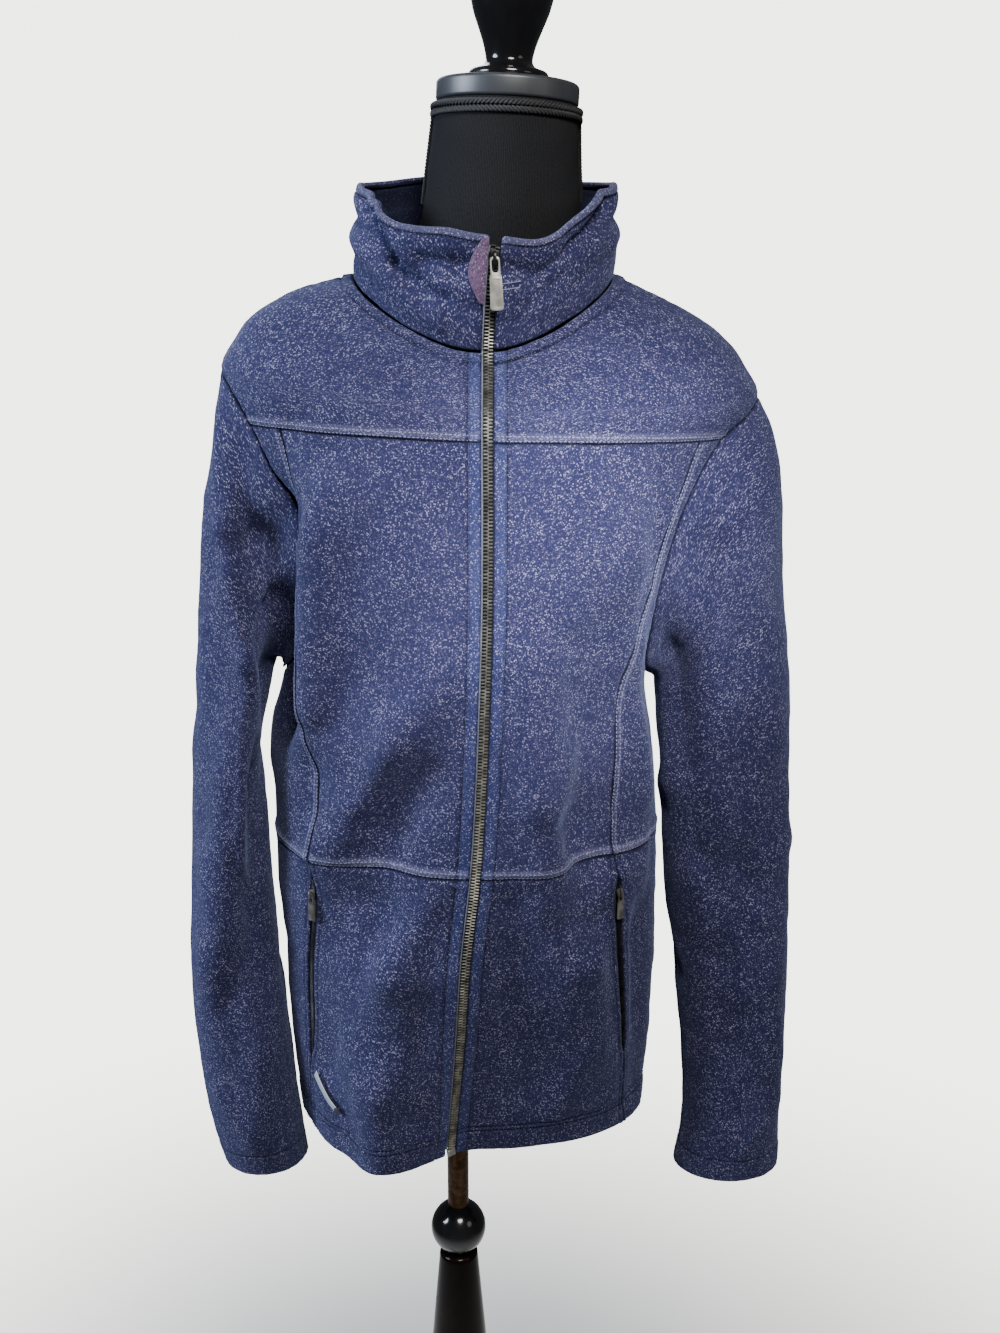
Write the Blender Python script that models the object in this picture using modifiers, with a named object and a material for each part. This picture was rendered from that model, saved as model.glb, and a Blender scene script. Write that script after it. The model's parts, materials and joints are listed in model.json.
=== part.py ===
"""Fleece zip jacket on a limbless dress form with a turned wooden stand.

Metres, +Z up. The wearer faces -Y, so the wearer's left sleeve is at +X. Every cloth piece is a closed
wall: a flat grid of columns by rows is thickened, then carried onto one shared surface of the garment.
"""

import math

import bmesh
import bpy
import numpy as np
from mathutils import Matrix, Vector

# Driving dimensions
STAND_AXIS = Vector((-0.030, -0.060, 0.0))   # the stand's axis, so that the part's box is centred on the origin
WALL = 0.0024                                # sweater-knit fleece
HEM_WALL = 0.0040                            # the same cloth turned up and stitched
COLLAR_WALL = 0.0050                         # outer and inner collar together
SEAM_GAP = 0.0003
HEM_LEVEL = 0.727
HEM_DEPTH = 0.022
POCKET_SEAM = 0.971
YOKE_SEAM = 1.284
NECK_LEVEL = 1.391
ZIP_CHAIN = 0.0064
ZIP_OPENING = 0.0072
CHAIN_FOOT = 0.7335                          # the level where the chain starts
TAPE_HALF_WIDTH = 0.0060
TAPE_WALL = 0.0008
TAPE_GAP = 0.0007
POCKET_ZIP_TOP = 0.950
POCKET_ZIP_FOOT = 0.806
POCKET_OPENING = 0.0056
ZIP_CLEARANCE = 0.0004                       # between a pocket zip and the panels beside it
POCKET_FADE = 0.009                          # the height in which the opening closes to a seam, past each end
ARMHOLE_LEVEL = 1.207                        # middle of the armhole
ARMHOLE_HALF_HEIGHT = 0.109
ARMHOLE_HALF_ANGLE = math.radians(22)
FRONT_COLUMNS = 7                            # cells across a panel
SIDE_COLUMNS = 3
BACK_COLUMNS = 14
COLLAR_COLUMNS = 32
SLEEVE_COLUMNS = 24
FIT_GAP = 0.0006                             # between the form's shoulders and the cloth that rests on them

NAVY = (0.045, 0.062, 0.165)
DARK_NAVY = (0.020, 0.024, 0.055)
MAUVE = (0.30, 0.20, 0.33)
BLACK_JERSEY = (0.012, 0.012, 0.014)
BLACK_WOOD = (0.018, 0.016, 0.017)
BROWN_WOOD = (0.030, 0.018, 0.012)
BRONZE = (0.16, 0.10, 0.06)
GUNMETAL = (0.16, 0.15, 0.14)
PALE_METAL = (0.55, 0.53, 0.48)
GREY_LABEL = (0.36, 0.38, 0.43)


def table(names, rows):
    """Named columns from a table's rows."""
    return {name: np.array([row[i] for row in rows]) for i, name in enumerate(names)}


SECTION_COLUMNS = ("height", "centre", "half", "front", "back", "square", "dip", "rise", "tilt")

# Horizontal sections of the body, from the hem to the neck seam. A section's front dips and its back
# rises where it nears the neck; tilt lowers the wearer's left.
TORSO = table(
    ("level", "centre", "half", "front", "back", "square", "dip", "rise", "tilt"),
    (
        (0.727, 0.0105, 0.1440, 0.084, 0.107, 2.25, 0.000, 0.000, 0.00),
        (0.800, 0.0100, 0.1495, 0.096, 0.108, 2.20, 0.000, 0.000, 0.00),
        (0.880, 0.0090, 0.1520, 0.110, 0.107, 2.15, 0.000, 0.000, 0.00),
        (0.971, 0.0095, 0.1505, 0.118, 0.104, 2.15, 0.000, 0.000, 0.00),
        (1.050, 0.0080, 0.1460, 0.121, 0.100, 2.15, 0.000, 0.000, 0.00),
        (1.098, 0.0080, 0.1390, 0.121, 0.099, 2.15, 0.000, 0.000, 0.00),
        (1.150, 0.0130, 0.1450, 0.119, 0.100, 2.15, 0.000, 0.000, 0.00),
        (1.207, 0.0190, 0.1570, 0.116, 0.101, 2.15, 0.000, 0.000, 0.01),
        (1.250, 0.0235, 0.1690, 0.112, 0.100, 2.15, 0.000, 0.000, 0.02),
        (1.284, 0.0265, 0.1820, 0.107, 0.098, 2.15, 0.002, 0.000, 0.03),
        (1.305, 0.0285, 0.1935, 0.102, 0.095, 2.15, 0.008, 0.000, 0.05),
        (1.321, 0.0290, 0.1960, 0.097, 0.091, 2.10, 0.016, 0.000, 0.05),
        (1.337, 0.0285, 0.1865, 0.091, 0.086, 2.10, 0.025, 0.002, 0.05),
        (1.351, 0.0285, 0.1760, 0.086, 0.081, 2.05, 0.033, 0.004, 0.05),
        (1.364, 0.0280, 0.1600, 0.082, 0.077, 2.05, 0.040, 0.007, 0.045),
        (1.377, 0.0270, 0.1350, 0.077, 0.073, 2.00, 0.046, 0.010, 0.040),
        (1.385, 0.0260, 0.1120, 0.074, 0.070, 2.00, 0.049, 0.012, 0.025),
        (1.391, 0.0240, 0.0935, 0.072, 0.068, 2.00, 0.051, 0.014, 0.00),
    ),
)
TORSO["height"] = TORSO["level"]

# The collar, from the neck seam (0) to its rim (1).
COLLAR = table(
    ("level", "height", "centre", "half", "front", "back", "square", "dip", "rise", "tilt"),
    (
        (0.00, 1.3914, 0.0240, 0.0935, 0.0720, 0.0680, 2.00, 0.0510, 0.014, 0.00),
        (0.16, 1.4005, 0.0243, 0.0945, 0.0765, 0.0700, 2.00, 0.0490, 0.013, 0.00),
        (0.45, 1.4180, 0.0250, 0.0950, 0.0815, 0.0725, 2.05, 0.0440, 0.012, 0.00),
        (0.75, 1.4370, 0.0258, 0.0935, 0.0830, 0.0735, 2.05, 0.0400, 0.011, 0.00),
        (0.93, 1.4500, 0.0262, 0.0918, 0.0825, 0.0735, 2.05, 0.0385, 0.009, 0.00),
        (1.00, 1.4550, 0.0265, 0.0915, 0.0825, 0.0735, 2.05, 0.0380, 0.008, 0.00),
    ),
)

# The neck of the form, from where the shoulders end (0) to the cap (1).
FORM_NECK = table(
    ("level", "height", "centre", "half", "front", "back", "square", "dip", "rise", "tilt"),
    (
        (0.00, 1.440, 0.0375, 0.0560, 0.0560, 0.0550, 2.00, 0.004, 0.002, 0.00),
        (0.40, 1.465, 0.0385, 0.0535, 0.0535, 0.0530, 2.00, 0.000, 0.000, 0.02),
        (1.00, 1.506, 0.0410, 0.0500, 0.0500, 0.0500, 2.00, 0.000, 0.000, 0.046),
    ),
)

# The zip's centre line and the two princess seams, which carry the pocket zips.
SEAM_LINES = table(
    ("level", "zip_x", "princess_right", "princess_left"),
    (
        (0.727, -0.0025, 68.0, 70.0),
        (0.779, 0.0020, 65.0, 67.0),
        (0.827, 0.0060, 62.0, 63.5),
        (0.907, 0.0115, 57.0, 57.5),
        (0.971, 0.0185, 54.0, 56.0),
        (1.050, 0.0235, 52.0, 57.0),
        (1.098, 0.0255, 52.5, 58.5),
        (1.160, 0.0275, 54.5, 61.0),
        (1.207, 0.0280, 57.0, 62.5),
        (1.284, 0.0280, 64.0, 66.0),
        (1.391, 0.0280, 66.0, 66.0),
    ),
)
COLLAR_ZIP = table(("level", "zip_x"), ((0.0, 0.0280), (0.35, 0.0293), (0.7, 0.0315), (1.0, 0.0340)))

# The body's largest folds: a ridge or a trough (negative lift) runs from one end to the other and fades
# out past both. Angles are degrees from the centre front, towards the wearer's left.
FOLD_COLUMNS = ("angle", "level", "end_angle", "end_level", "width", "lift")
BODY_FOLDS = table(
    FOLD_COLUMNS,
    (
        (-49, 1.240, -53, 1.070, 0.024, 0.013),
        (-73, 1.225, -70, 1.080, 0.021, -0.021),
        (-6, 1.120, -46, 0.960, 0.030, 0.005),
        (-30, 1.020, -36, 0.935, 0.038, -0.015),
        (-18, 0.880, -29, 0.700, 0.040, 0.018),
        (-30, 0.790, -34, 0.690, 0.036, 0.026),
        (-52, 0.770, -56, 0.690, 0.030, 0.013),
        (41, 1.000, 42, 0.930, 0.023, -0.013),
        (-88, 0.870, -94, 0.700, 0.050, -0.006),
        (34, 1.150, 24, 0.985, 0.026, 0.005),
        (47, 1.080, 50, 0.970, 0.018, -0.005),
        (30, 0.940, 40, 0.790, 0.028, 0.007),
        (72, 0.900, 76, 0.760, 0.018, -0.006),
        (112, 0.860, 122, 0.700, 0.030, 0.015),
        (150, 0.930, 146, 0.700, 0.028, -0.009),
        (186, 1.000, 182, 0.700, 0.034, 0.010),
        (214, 0.930, 220, 0.700, 0.028, -0.009),
        (244, 0.880, 246, 0.700, 0.030, 0.009),
        (140, 1.240, 172, 1.080, 0.026, 0.005),
        (222, 1.240, 190, 1.080, 0.026, 0.005),
        (180, 1.150, 160, 1.010, 0.026, -0.005),
        (-86, 1.062, -89, 1.030, 0.020, 0.0045),
        (-86, 0.840, -88, 0.700, 0.022, 0.0017),
    ),
)
COLLAR_FOLDS = table(
    FOLD_COLUMNS,
    (
        (-72, 0.92, -30, 0.40, 0.0075, -0.0055),
        (-60, 1.00, -20, 0.72, 0.0070, 0.0020),
        (70, 0.90, 34, 0.50, 0.0075, -0.0050),
        (96, 0.48, 140, 0.42, 0.0080, -0.0035),
        (190, 0.55, 245, 0.45, 0.0080, -0.0040),
        (-10, 0.66, -34, 0.62, 0.0060, -0.0025),
    ),
)

SLEEVE_RINGS = ("height", "centre", "depth_centre", "half", "half_depth", "turn", "tilt")
LEFT_SLEEVE = table(
    SLEEVE_RINGS,
    (
        (1.128, 0.2040, -0.002, 0.0475, 0.0580, -8, 0.80),
        (1.060, 0.2095, -0.004, 0.0510, 0.0520, -6, 0.34),
        (0.985, 0.2140, -0.006, 0.0505, 0.0470, -4, 0.10),
        (0.915, 0.2180, -0.010, 0.0490, 0.0420, 0, 0.02),
        (0.840, 0.2240, -0.012, 0.0450, 0.0390, 4, 0.00),
        (0.770, 0.2275, -0.014, 0.0410, 0.0370, 6, 0.00),
        (0.710, 0.2283, -0.015, 0.0408, 0.0355, 4, 0.00),
        (0.673, 0.2260, -0.016, 0.0435, 0.0330, 2, 0.00),
    ),
)
RIGHT_SLEEVE = table(
    SLEEVE_RINGS,
    (
        (1.128, 0.1640, -0.002, 0.0290, 0.0650, -12, 0.80),
        (1.060, 0.1750, -0.006, 0.0265, 0.0640, -14, 0.34),
        (0.985, 0.1770, -0.010, 0.0295, 0.0590, -14, 0.10),
        (0.915, 0.1775, -0.016, 0.0325, 0.0510, -12, 0.00),
        (0.840, 0.1750, -0.022, 0.0370, 0.0430, -8, 0.00),
        (0.770, 0.1705, -0.024, 0.0370, 0.0390, -4, 0.00),
        (0.720, 0.1650, -0.024, 0.0360, 0.0365, 0, 0.00),
        (0.684, 0.1590, -0.022, 0.0340, 0.0340, 0, 0.00),
    ),
)
LEFT_SLEEVE_FOLDS = table(
    FOLD_COLUMNS,
    (
        (8, 1.200, 22, 1.060, 0.014, -0.006),
        (318, 1.120, 330, 0.960, 0.013, -0.006),
        (60, 1.020, 20, 0.930, 0.016, -0.004),
        (130, 1.060, 170, 0.960, 0.016, -0.004),
        (210, 1.140, 240, 1.000, 0.014, -0.006),
        (20, 0.860, 50, 0.740, 0.016, 0.003),
        (200, 0.860, 170, 0.750, 0.016, -0.004),
    ),
)
RIGHT_SLEEVE_FOLDS = table(
    FOLD_COLUMNS,
    (
        (-10, 1.230, -14, 0.960, 0.010, 0.005),
        (-44, 1.180, -50, 0.960, 0.018, -0.008),
        (30, 1.100, 50, 0.980, 0.016, -0.003),
        (140, 1.080, 170, 0.960, 0.016, -0.004),
        (210, 1.140, 235, 1.000, 0.014, -0.006),
        (40, 0.880, 10, 0.780, 0.016, 0.003),
        (200, 0.860, 170, 0.750, 0.016, -0.004),
    ),
)
CAP_DROP_LOW = math.radians(35)                                 # how steeply a sleeve leaves the armhole's foot
CAP_DROP_TOP = {"left": math.radians(56), "right": math.radians(78)}

# How far the form lies inside the cloth's outer surface.
FORM_INSET = table(
    ("level", "inset"),
    (
        (0.780, 0.024),
        (0.840, 0.020),
        (0.900, 0.022),
        (0.971, 0.032),
        (1.050, 0.034),
        (1.110, 0.031),
        (1.180, 0.029),
        (1.250, 0.025),
        (1.300, 0.015),
        (1.322, 0.0060),
        (1.338, WALL + FIT_GAP),
        (1.391, WALL + FIT_GAP),
    ),
)
MILLIMETRE = 0.001
PULL_AXIS = -3.75           # in the slider's own millimetres, outwards from its foot
PULL_WALL = 1.6
MAIN_SLIDER_LEVEL = 0.80
MAIN_SLIDER_ROLL = math.radians(-4)
MAIN_SLIDER_LIFT = 0.0007    # clear of the chain that carries it
POCKET_SLIDER_LEVEL = 0.944
POCKET_SLIDER_LIFT = 0.0006
POCKET_SLIDER_SCALE = 0.66 * MILLIMETRE
CAP_RADIUS = 0.0502
CAP_HEIGHT = 0.0145
POLE_RADIUS = 0.0090
BALL_RADIUS = 0.0235
BALL_HALF_HEIGHT = 0.0222
COLUMN_TOP = 0.5735
COLUMN = table(
    ("height", "radius"),
    (
        (0.5735, 0.0160),
        (0.5660, 0.0168),
        (0.5300, 0.0198),
        (0.4850, 0.0237),
        (0.4400, 0.0272),
        (0.3950, 0.0300),
        (0.3500, 0.0312),
        (0.3050, 0.0294),
        (0.2700, 0.0250),
        (0.2450, 0.0205),
        (0.2320, 0.0200),
        (0.2270, 0.0240),
        (0.2200, 0.0262),
        (0.2130, 0.0240),
        (0.2090, 0.0215),
        (0.2050, 0.0300),
        (0.1080, 0.0300),
        (0.1040, 0.0240),
        (0.0960, 0.0225),
        (0.0860, 0.0190),
        (0.0780, 0.0110),
        (0.0750, 0.0040),
    ),
)
LEG_HEADINGS = (("back", 90), ("front_right", 210), ("front_left", 330))
LEG_THICKNESS = 0.022
FOOT_START = 0.218
LEG = table(
    ("reach", "top", "under"),
    (
        (0.0303, 0.198, 0.116),
        (0.0600, 0.192, 0.126),
        (0.1000, 0.168, 0.114),
        (0.1400, 0.124, 0.082),
        (0.1800, 0.074, 0.038),
        (0.2100, 0.044, 0.008),
        (0.2300, 0.031, 0.000),
        (0.2500, 0.019, 0.000),
    ),
)
FORM_FRONT_INSET = 0.008    # what is added at the front and the back, so that only the shoulders carry


def smooth(knots, values, at):
    """A cubic through the rows, each row's slope taken from its neighbours."""
    slopes = np.gradient(values, knots)
    at = np.clip(at, knots[0], knots[-1])
    i = np.clip(np.searchsorted(knots, at, side="right") - 1, 0, len(knots) - 2)
    step = knots[i + 1] - knots[i]
    s = (at - knots[i]) / step
    rest = 1 - s
    return (
        (1 + 2 * s) * rest**2 * values[i]
        + s * rest**2 * step * slopes[i]
        + s**2 * (3 - 2 * s) * values[i + 1]
        - s**2 * rest * step * slopes[i + 1]
    )


def unit(vectors):
    return vectors / np.linalg.norm(vectors, axis=-1, keepdims=True)


def section(stack, angle, level):
    """A point of a stack of rounded sections, at an angle from the centre front."""
    row = {name: smooth(stack["level"], stack[name], level) for name in SECTION_COLUMNS}
    sine = np.sin(angle)
    cosine = np.cos(angle)
    depth = np.where(cosine > 0, row["front"], row["back"])
    power = row["square"]
    radius = (np.abs(cosine / depth) ** power + np.abs(sine / row["half"]) ** power) ** (-1 / power)
    x = radius * sine
    z = row["height"] - row["dip"] * np.clip(cosine, 0, 1) ** 1.3
    z = z + row["rise"] * np.clip(-cosine, 0, 1) ** 1.3 - row["tilt"] * x
    return np.stack([row["centre"] + x, -radius * cosine, z], axis=-1)


def fold_lift(folds, angle, level, round_size, level_size=1.0):
    """How far the folds lift the cloth. Each is a round-ended ridge or trough on the unrolled surface."""
    total = np.zeros(np.broadcast(angle, level).shape)
    for i in range(len(folds["lift"])):
        start = math.radians(folds["angle"][i])
        turn = math.radians(folds["end_angle"][i]) - start
        across = (angle - start - turn / 2 + math.pi) % (2 * math.pi) - math.pi + turn / 2
        run = np.array([turn * round_size, (folds["end_level"][i] - folds["level"][i]) * level_size])
        height = (level - folds["level"][i]) * level_size
        spot = np.stack(np.broadcast_arrays(across * round_size, height), axis=-1)
        along = np.clip(spot @ run / (run @ run), 0, 1)[..., None]
        distance = np.linalg.norm(spot - along * run, axis=-1)
        total = total + folds["lift"][i] * np.exp(-((distance / folds["width"][i]) ** 2))
    return total


def outward(angle):
    return np.stack([np.sin(angle), -np.cos(angle), np.zeros_like(angle)], axis=-1)


def torso(angle, level):
    """The body's outer surface."""
    angle, level = np.broadcast_arrays(np.asarray(angle, float), np.asarray(level, float))
    lift = fold_lift(BODY_FOLDS, angle, level, 0.135)
    return section(TORSO, angle, level) + lift[..., None] * outward(angle)


def collar(angle, level):
    """The collar's outer surface. Its folds fade out at the neck seam."""
    angle, level = np.broadcast_arrays(np.asarray(angle, float), np.asarray(level, float))
    fade = np.clip(level / 0.2, 0, 1)
    lift = fade * fold_lift(COLLAR_FOLDS, angle, level, 0.085, 0.065)
    return section(COLLAR, angle, level) + lift[..., None] * outward(angle)


def facing(surface, u, v, step_u=2e-4, step_v=2e-4):
    """The outward unit normal of a surface."""
    along_u = surface(u + step_u, v) - surface(u - step_u, v)
    along_v = surface(u, v + step_v) - surface(u, v - step_v)
    return unit(np.cross(along_u, along_v))


def angle_at(surface, level, x):
    """The angle, near the centre front, at which a surface crosses a given x."""
    angle = np.zeros_like(level)
    for _ in range(12):
        here = surface(angle, level)[..., 0]
        slope = (surface(angle + 1e-3, level)[..., 0] - here) / 1e-3
        angle = angle + (x - here) / slope
    return angle


def zip_angle(level):
    level = np.asarray(level, float)
    return angle_at(torso, level, smooth(SEAM_LINES["level"], SEAM_LINES["zip_x"], level))


def collar_zip_angle(level):
    level = np.asarray(level, float)
    return angle_at(collar, level, smooth(COLLAR_ZIP["level"], COLLAR_ZIP["zip_x"], level))


def shifted(surface, angle, level, metres):
    """The angle that lies this far round the surface from the given one."""
    step = 1e-3
    pace = np.linalg.norm(surface(angle + step, level) - surface(angle - step, level), axis=-1) / (2 * step)
    return angle + metres / pace


def princess_angle(side, level):
    """A princess seam. side is 1 for the wearer's left and -1 for the right."""
    name = "princess_left" if side > 0 else "princess_right"
    return side * np.radians(smooth(SEAM_LINES["level"], SEAM_LINES[name], np.asarray(level, float)))


def armhole_width(level):
    """Half the armhole's angle at a level, 0 below and above it."""
    height = np.clip((np.asarray(level, float) - ARMHOLE_LEVEL) / ARMHOLE_HALF_HEIGHT, -1, 1)
    return ARMHOLE_HALF_ANGLE * np.sqrt(np.clip(1 - height**2, 0, 1))


def pocket_half_gap(level):
    """Half the space between centre front and side panel: a seam's, or the pocket zip's."""
    level = np.asarray(level, float)
    foot_share = np.clip((level - POCKET_ZIP_FOOT) / POCKET_FADE + 1, 0, 1)
    top_share = np.clip((POCKET_ZIP_TOP - level) / POCKET_FADE + 1, 0, 1)
    return SEAM_GAP / 2 + (POCKET_OPENING - SEAM_GAP) / 2 * foot_share * top_share


# Rows of the body's grid. All panels share them, so that neighbours meet vertex to vertex.
ARMHOLE_ROWS = ARMHOLE_LEVEL + ARMHOLE_HALF_HEIGHT * np.sin(
    np.radians(np.linspace(-90, 90, SLEEVE_COLUMNS // 2 + 1))
)
YOKE_ROW = int(np.argmin(np.abs(ARMHOLE_ROWS - YOKE_SEAM)))
POCKET_ROWS = np.array([POCKET_ZIP_FOOT, 0.835, 0.870, 0.910, POCKET_ZIP_TOP])
LOWER_ROWS = np.array(
    [HEM_LEVEL, HEM_LEVEL + HEM_DEPTH, 0.775, POCKET_ZIP_FOOT - POCKET_FADE]
    + [*POCKET_ROWS, POCKET_ZIP_TOP + POCKET_FADE, POCKET_SEAM]
)
WAIST_ROWS = np.array([POCKET_SEAM, 1.003, 1.037, 1.070, ARMHOLE_ROWS[0]])
SHOULDER_ROWS = np.array([ARMHOLE_ROWS[-1], 1.328, 1.340, 1.353, 1.365, 1.376, 1.384, NECK_LEVEL])
CHEST_ROWS = np.concatenate([WAIST_ROWS, ARMHOLE_ROWS[1 : YOKE_ROW + 1]])
YOKE_ROWS = np.concatenate([ARMHOLE_ROWS[YOKE_ROW:], SHOULDER_ROWS[1:]])
BACK_ROWS = np.concatenate([LOWER_ROWS, WAIST_ROWS[1:], ARMHOLE_ROWS[1:], SHOULDER_ROWS[1:]])


def material(name, colour, roughness=0.9, metallic=0.0):
    found = bpy.data.materials.new(name)
    found.use_nodes = True
    found.diffuse_color = (*colour, 1)
    shader = found.node_tree.nodes["Principled BSDF"]
    shader.inputs["Base Color"].default_value = (*colour, 1)
    shader.inputs["Roughness"].default_value = roughness
    shader.inputs["Metallic"].default_value = metallic
    return found


def finish(name, mesh, colour, roughness=0.9, metallic=0.0, smooth_angle=40):
    """A named object at the stand's axis, in the jacket's collection, with a material of its own."""
    mesh.materials.append(material(name, colour, roughness, metallic))
    mesh.shade_smooth()
    mesh.set_sharp_from_angle(angle=math.radians(smooth_angle))
    made = bpy.data.objects.new(name, mesh)
    made.location = STAND_AXIS
    PARTS.objects.link(made)
    return made


def flat_slab(columns, rows):
    """A unit slab of columns by rows cells, its outer face at depth 0 and its inner face at depth 1."""
    grid = bmesh.new()
    bmesh.ops.create_grid(grid, x_segments=columns, y_segments=rows, size=0.5)
    bmesh.ops.solidify(grid, geom=grid.faces[:], thickness=1.0)
    places = np.array([vertex.co[:] for vertex in grid.verts])
    across = np.rint((places[:, 0] + 0.5) * columns).astype(int)
    up = np.rint((places[:, 1] + 0.5) * rows).astype(int)
    return grid, across, up, -places[:, 2]


def carry(grid, points, name):
    """Moves the grid's vertices to their places and gives the mesh, its faces outwards."""
    for vertex, point in zip(grid.verts, points):
        vertex.co = point
    if grid.calc_volume(signed=True) < 0:
        bmesh.ops.reverse_faces(grid, faces=grid.faces[:])
    mesh = bpy.data.meshes.new(name)
    grid.to_mesh(mesh)
    grid.free()
    return mesh


def panel(name, columns, rows, place, colour=NAVY, roughness=0.95, metallic=0.0):
    """A wall of cloth. place(share, level, depth) gives each vertex's point; rows are the levels."""
    grid, across, up, depth = flat_slab(columns, len(rows) - 1)
    mesh = carry(grid, place(across / columns, rows[up], depth), name)
    return finish(name, mesh, colour, roughness, metallic)


def cloth_wall(level):
    """The body's thickness: doubled in the turned hem."""
    return np.where(level < HEM_LEVEL + HEM_DEPTH + 0.001, HEM_WALL, WALL)


def body_panel(name, rows, edges, columns):
    """A panel of the body, apart from its neighbours. It has a number of columns from each edge to the next."""
    spaced = np.array(rows, float)
    spaced[0] += SEAM_GAP / 2 if rows[0] > HEM_LEVEL else 0
    spaced[-1] -= SEAM_GAP / 2
    ends = np.cumsum([0, *columns]) / sum(columns)

    def place(share, level, depth):
        lines = np.array([edge(level) for edge in edges])
        angle = lines[0]
        for i, (start, end) in enumerate(zip(ends, ends[1:])):
            angle = angle + (lines[i + 1] - lines[i]) * np.clip((share - start) / (end - start), 0, 1)
        wall = cloth_wall(level) * depth
        return torso(angle, level) - wall[:, None] * facing(torso, angle, level)

    return panel(name, sum(columns), spaced, place)


def zip_edge(side):
    return lambda level: shifted(torso, zip_angle(level), level, side * ZIP_OPENING / 2)


def princess_edge(side, towards_zip):
    """The edge of the centre front (towards_zip 1) or of the side panel (-1) along a princess seam."""
    return lambda level: shifted(
        torso, princess_angle(side, level), level, -side * towards_zip * pocket_half_gap(level)
    )


def side_edge(side, towards_front):
    """Side seam, armhole and shoulder seam in one line, on its front (1) or back (-1) side."""

    def edge(level):
        middle = side * math.pi / 2
        seam = middle - side * towards_front * armhole_width(level)
        return shifted(torso, seam, level, -side * towards_front * SEAM_GAP / 2)

    return edge


def fronts():
    """The panels of the two fronts: the same cut left and right, each with its drape."""
    for side, word in ((1, "left"), (-1, "right")):
        opening = zip_edge(side)
        princess = princess_edge(side, 1)
        beside = princess_edge(side, -1)
        arm = side_edge(side, 1)
        body_panel(f"front_yoke_{word}", YOKE_ROWS, (opening, princess, arm), (FRONT_COLUMNS, SIDE_COLUMNS))
        body_panel(f"centre_front_{word}", CHEST_ROWS, (opening, princess), (FRONT_COLUMNS,))
        body_panel(f"pocket_panel_{word}", LOWER_ROWS, (opening, princess), (FRONT_COLUMNS,))
        body_panel(f"side_panel_{word}", CHEST_ROWS, (beside, arm), (SIDE_COLUMNS,))
        body_panel(f"hip_panel_{word}", LOWER_ROWS, (beside, arm), (SIDE_COLUMNS,))


def back():
    right = side_edge(-1, -1)
    edges = (side_edge(1, -1), lambda level: right(level) + 2 * math.pi)
    body_panel("back_panel", BACK_ROWS, edges, (BACK_COLUMNS,))


def collar_piece():
    """One stand collar, from zip to zip, its rim rounded over."""
    rows = np.array([0.004, 0.16, 0.40, 0.64, 0.86, 0.965, 1.0])

    def place(share, level, depth):
        middle = collar_zip_angle(level)
        first = shifted(collar, middle, level, ZIP_OPENING / 2)
        last = shifted(collar, middle, level, -ZIP_OPENING / 2) + 2 * math.pi
        angle = first * (1 - share) + last * share
        rounding = np.where(level > 0.99, 0.45, 1.0)
        inward = COLLAR_WALL * (0.5 + (depth - 0.5) * rounding)
        return collar(angle, level) - inward[:, None] * facing(collar, angle, level)

    return panel("collar", COLLAR_COLUMNS, rows, place)


def ring_of(rings, side, around, height):
    """A point of the sleeve's tube. around is 0 at its front and a quarter turn at its outer side."""
    order = {name: values[::-1] for name, values in rings.items()}
    row = {name: smooth(order["height"], order[name], height) for name in SLEEVE_RINGS}
    turn = np.radians(row["turn"])
    across = row["half"] * np.sin(around)
    depth = -row["half_depth"] * np.cos(around)
    x = across * np.cos(turn) - depth * np.sin(turn)
    y = across * np.sin(turn) + depth * np.cos(turn)
    z = row["height"] + row["tilt"] * x
    return np.stack([side * (row["centre"] + x), row["depth_centre"] + y, z], axis=-1)


CAP_END = 0.3       # the share of a sleeve's rows that runs from the armhole to the tube


def sleeve_surface(side):
    """The sleeve's outer surface by angle around and share along: a cap from the armhole, then a tube."""
    rings, folds, word = (
        (LEFT_SLEEVE, LEFT_SLEEVE_FOLDS, "left") if side > 0 else (RIGHT_SLEEVE, RIGHT_SLEEVE_FOLDS, "right")
    )
    top = rings["height"][0]
    foot = rings["height"][-1]

    def surface(around, share):
        around, share = np.broadcast_arrays(np.asarray(around, float), np.asarray(share, float))
        angle = side * (math.pi / 2 - ARMHOLE_HALF_ANGLE * np.cos(around))
        start = torso(angle, ARMHOLE_LEVEL + ARMHOLE_HALF_HEIGHT * np.sin(around))
        end = ring_of(rings, side, around, np.full(around.shape, top))
        below = ring_of(rings, side, around, np.full(around.shape, top - 0.002))
        drop = CAP_DROP_LOW + (CAP_DROP_TOP[word] - CAP_DROP_LOW) * np.clip(np.sin(around), 0, 1) ** 2
        leave = np.stack([side * np.cos(drop), 0 * drop, -np.sin(drop)], axis=-1)
        reach = np.linalg.norm(end - start, axis=-1, keepdims=True)
        s = np.clip(share / CAP_END, 0, 1)[..., None]
        rest = 1 - s
        cap = (
            (1 + 2 * s) * rest**2 * start
            + s * rest**2 * reach * leave
            + s**2 * (3 - 2 * s) * end
            - s**2 * rest * reach * unit(below - end)
        )
        height = top + (foot - top) * np.clip((share - CAP_END) / (1 - CAP_END), 0, 1)
        tube = ring_of(rings, side, around, height)
        smooth_point = np.where(share[..., None] < CAP_END, cap, tube)
        fade = np.clip(share / 0.12, 0, 1) * np.clip((1.0 - share) / 0.06, 0, 1)
        lift = fade * fold_lift(folds, around, smooth_point[..., 2], 0.046)
        away = np.stack([side * np.sin(around), -np.cos(around), 0 * around], axis=-1)
        return smooth_point + lift[..., None] * away

    return surface


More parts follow.
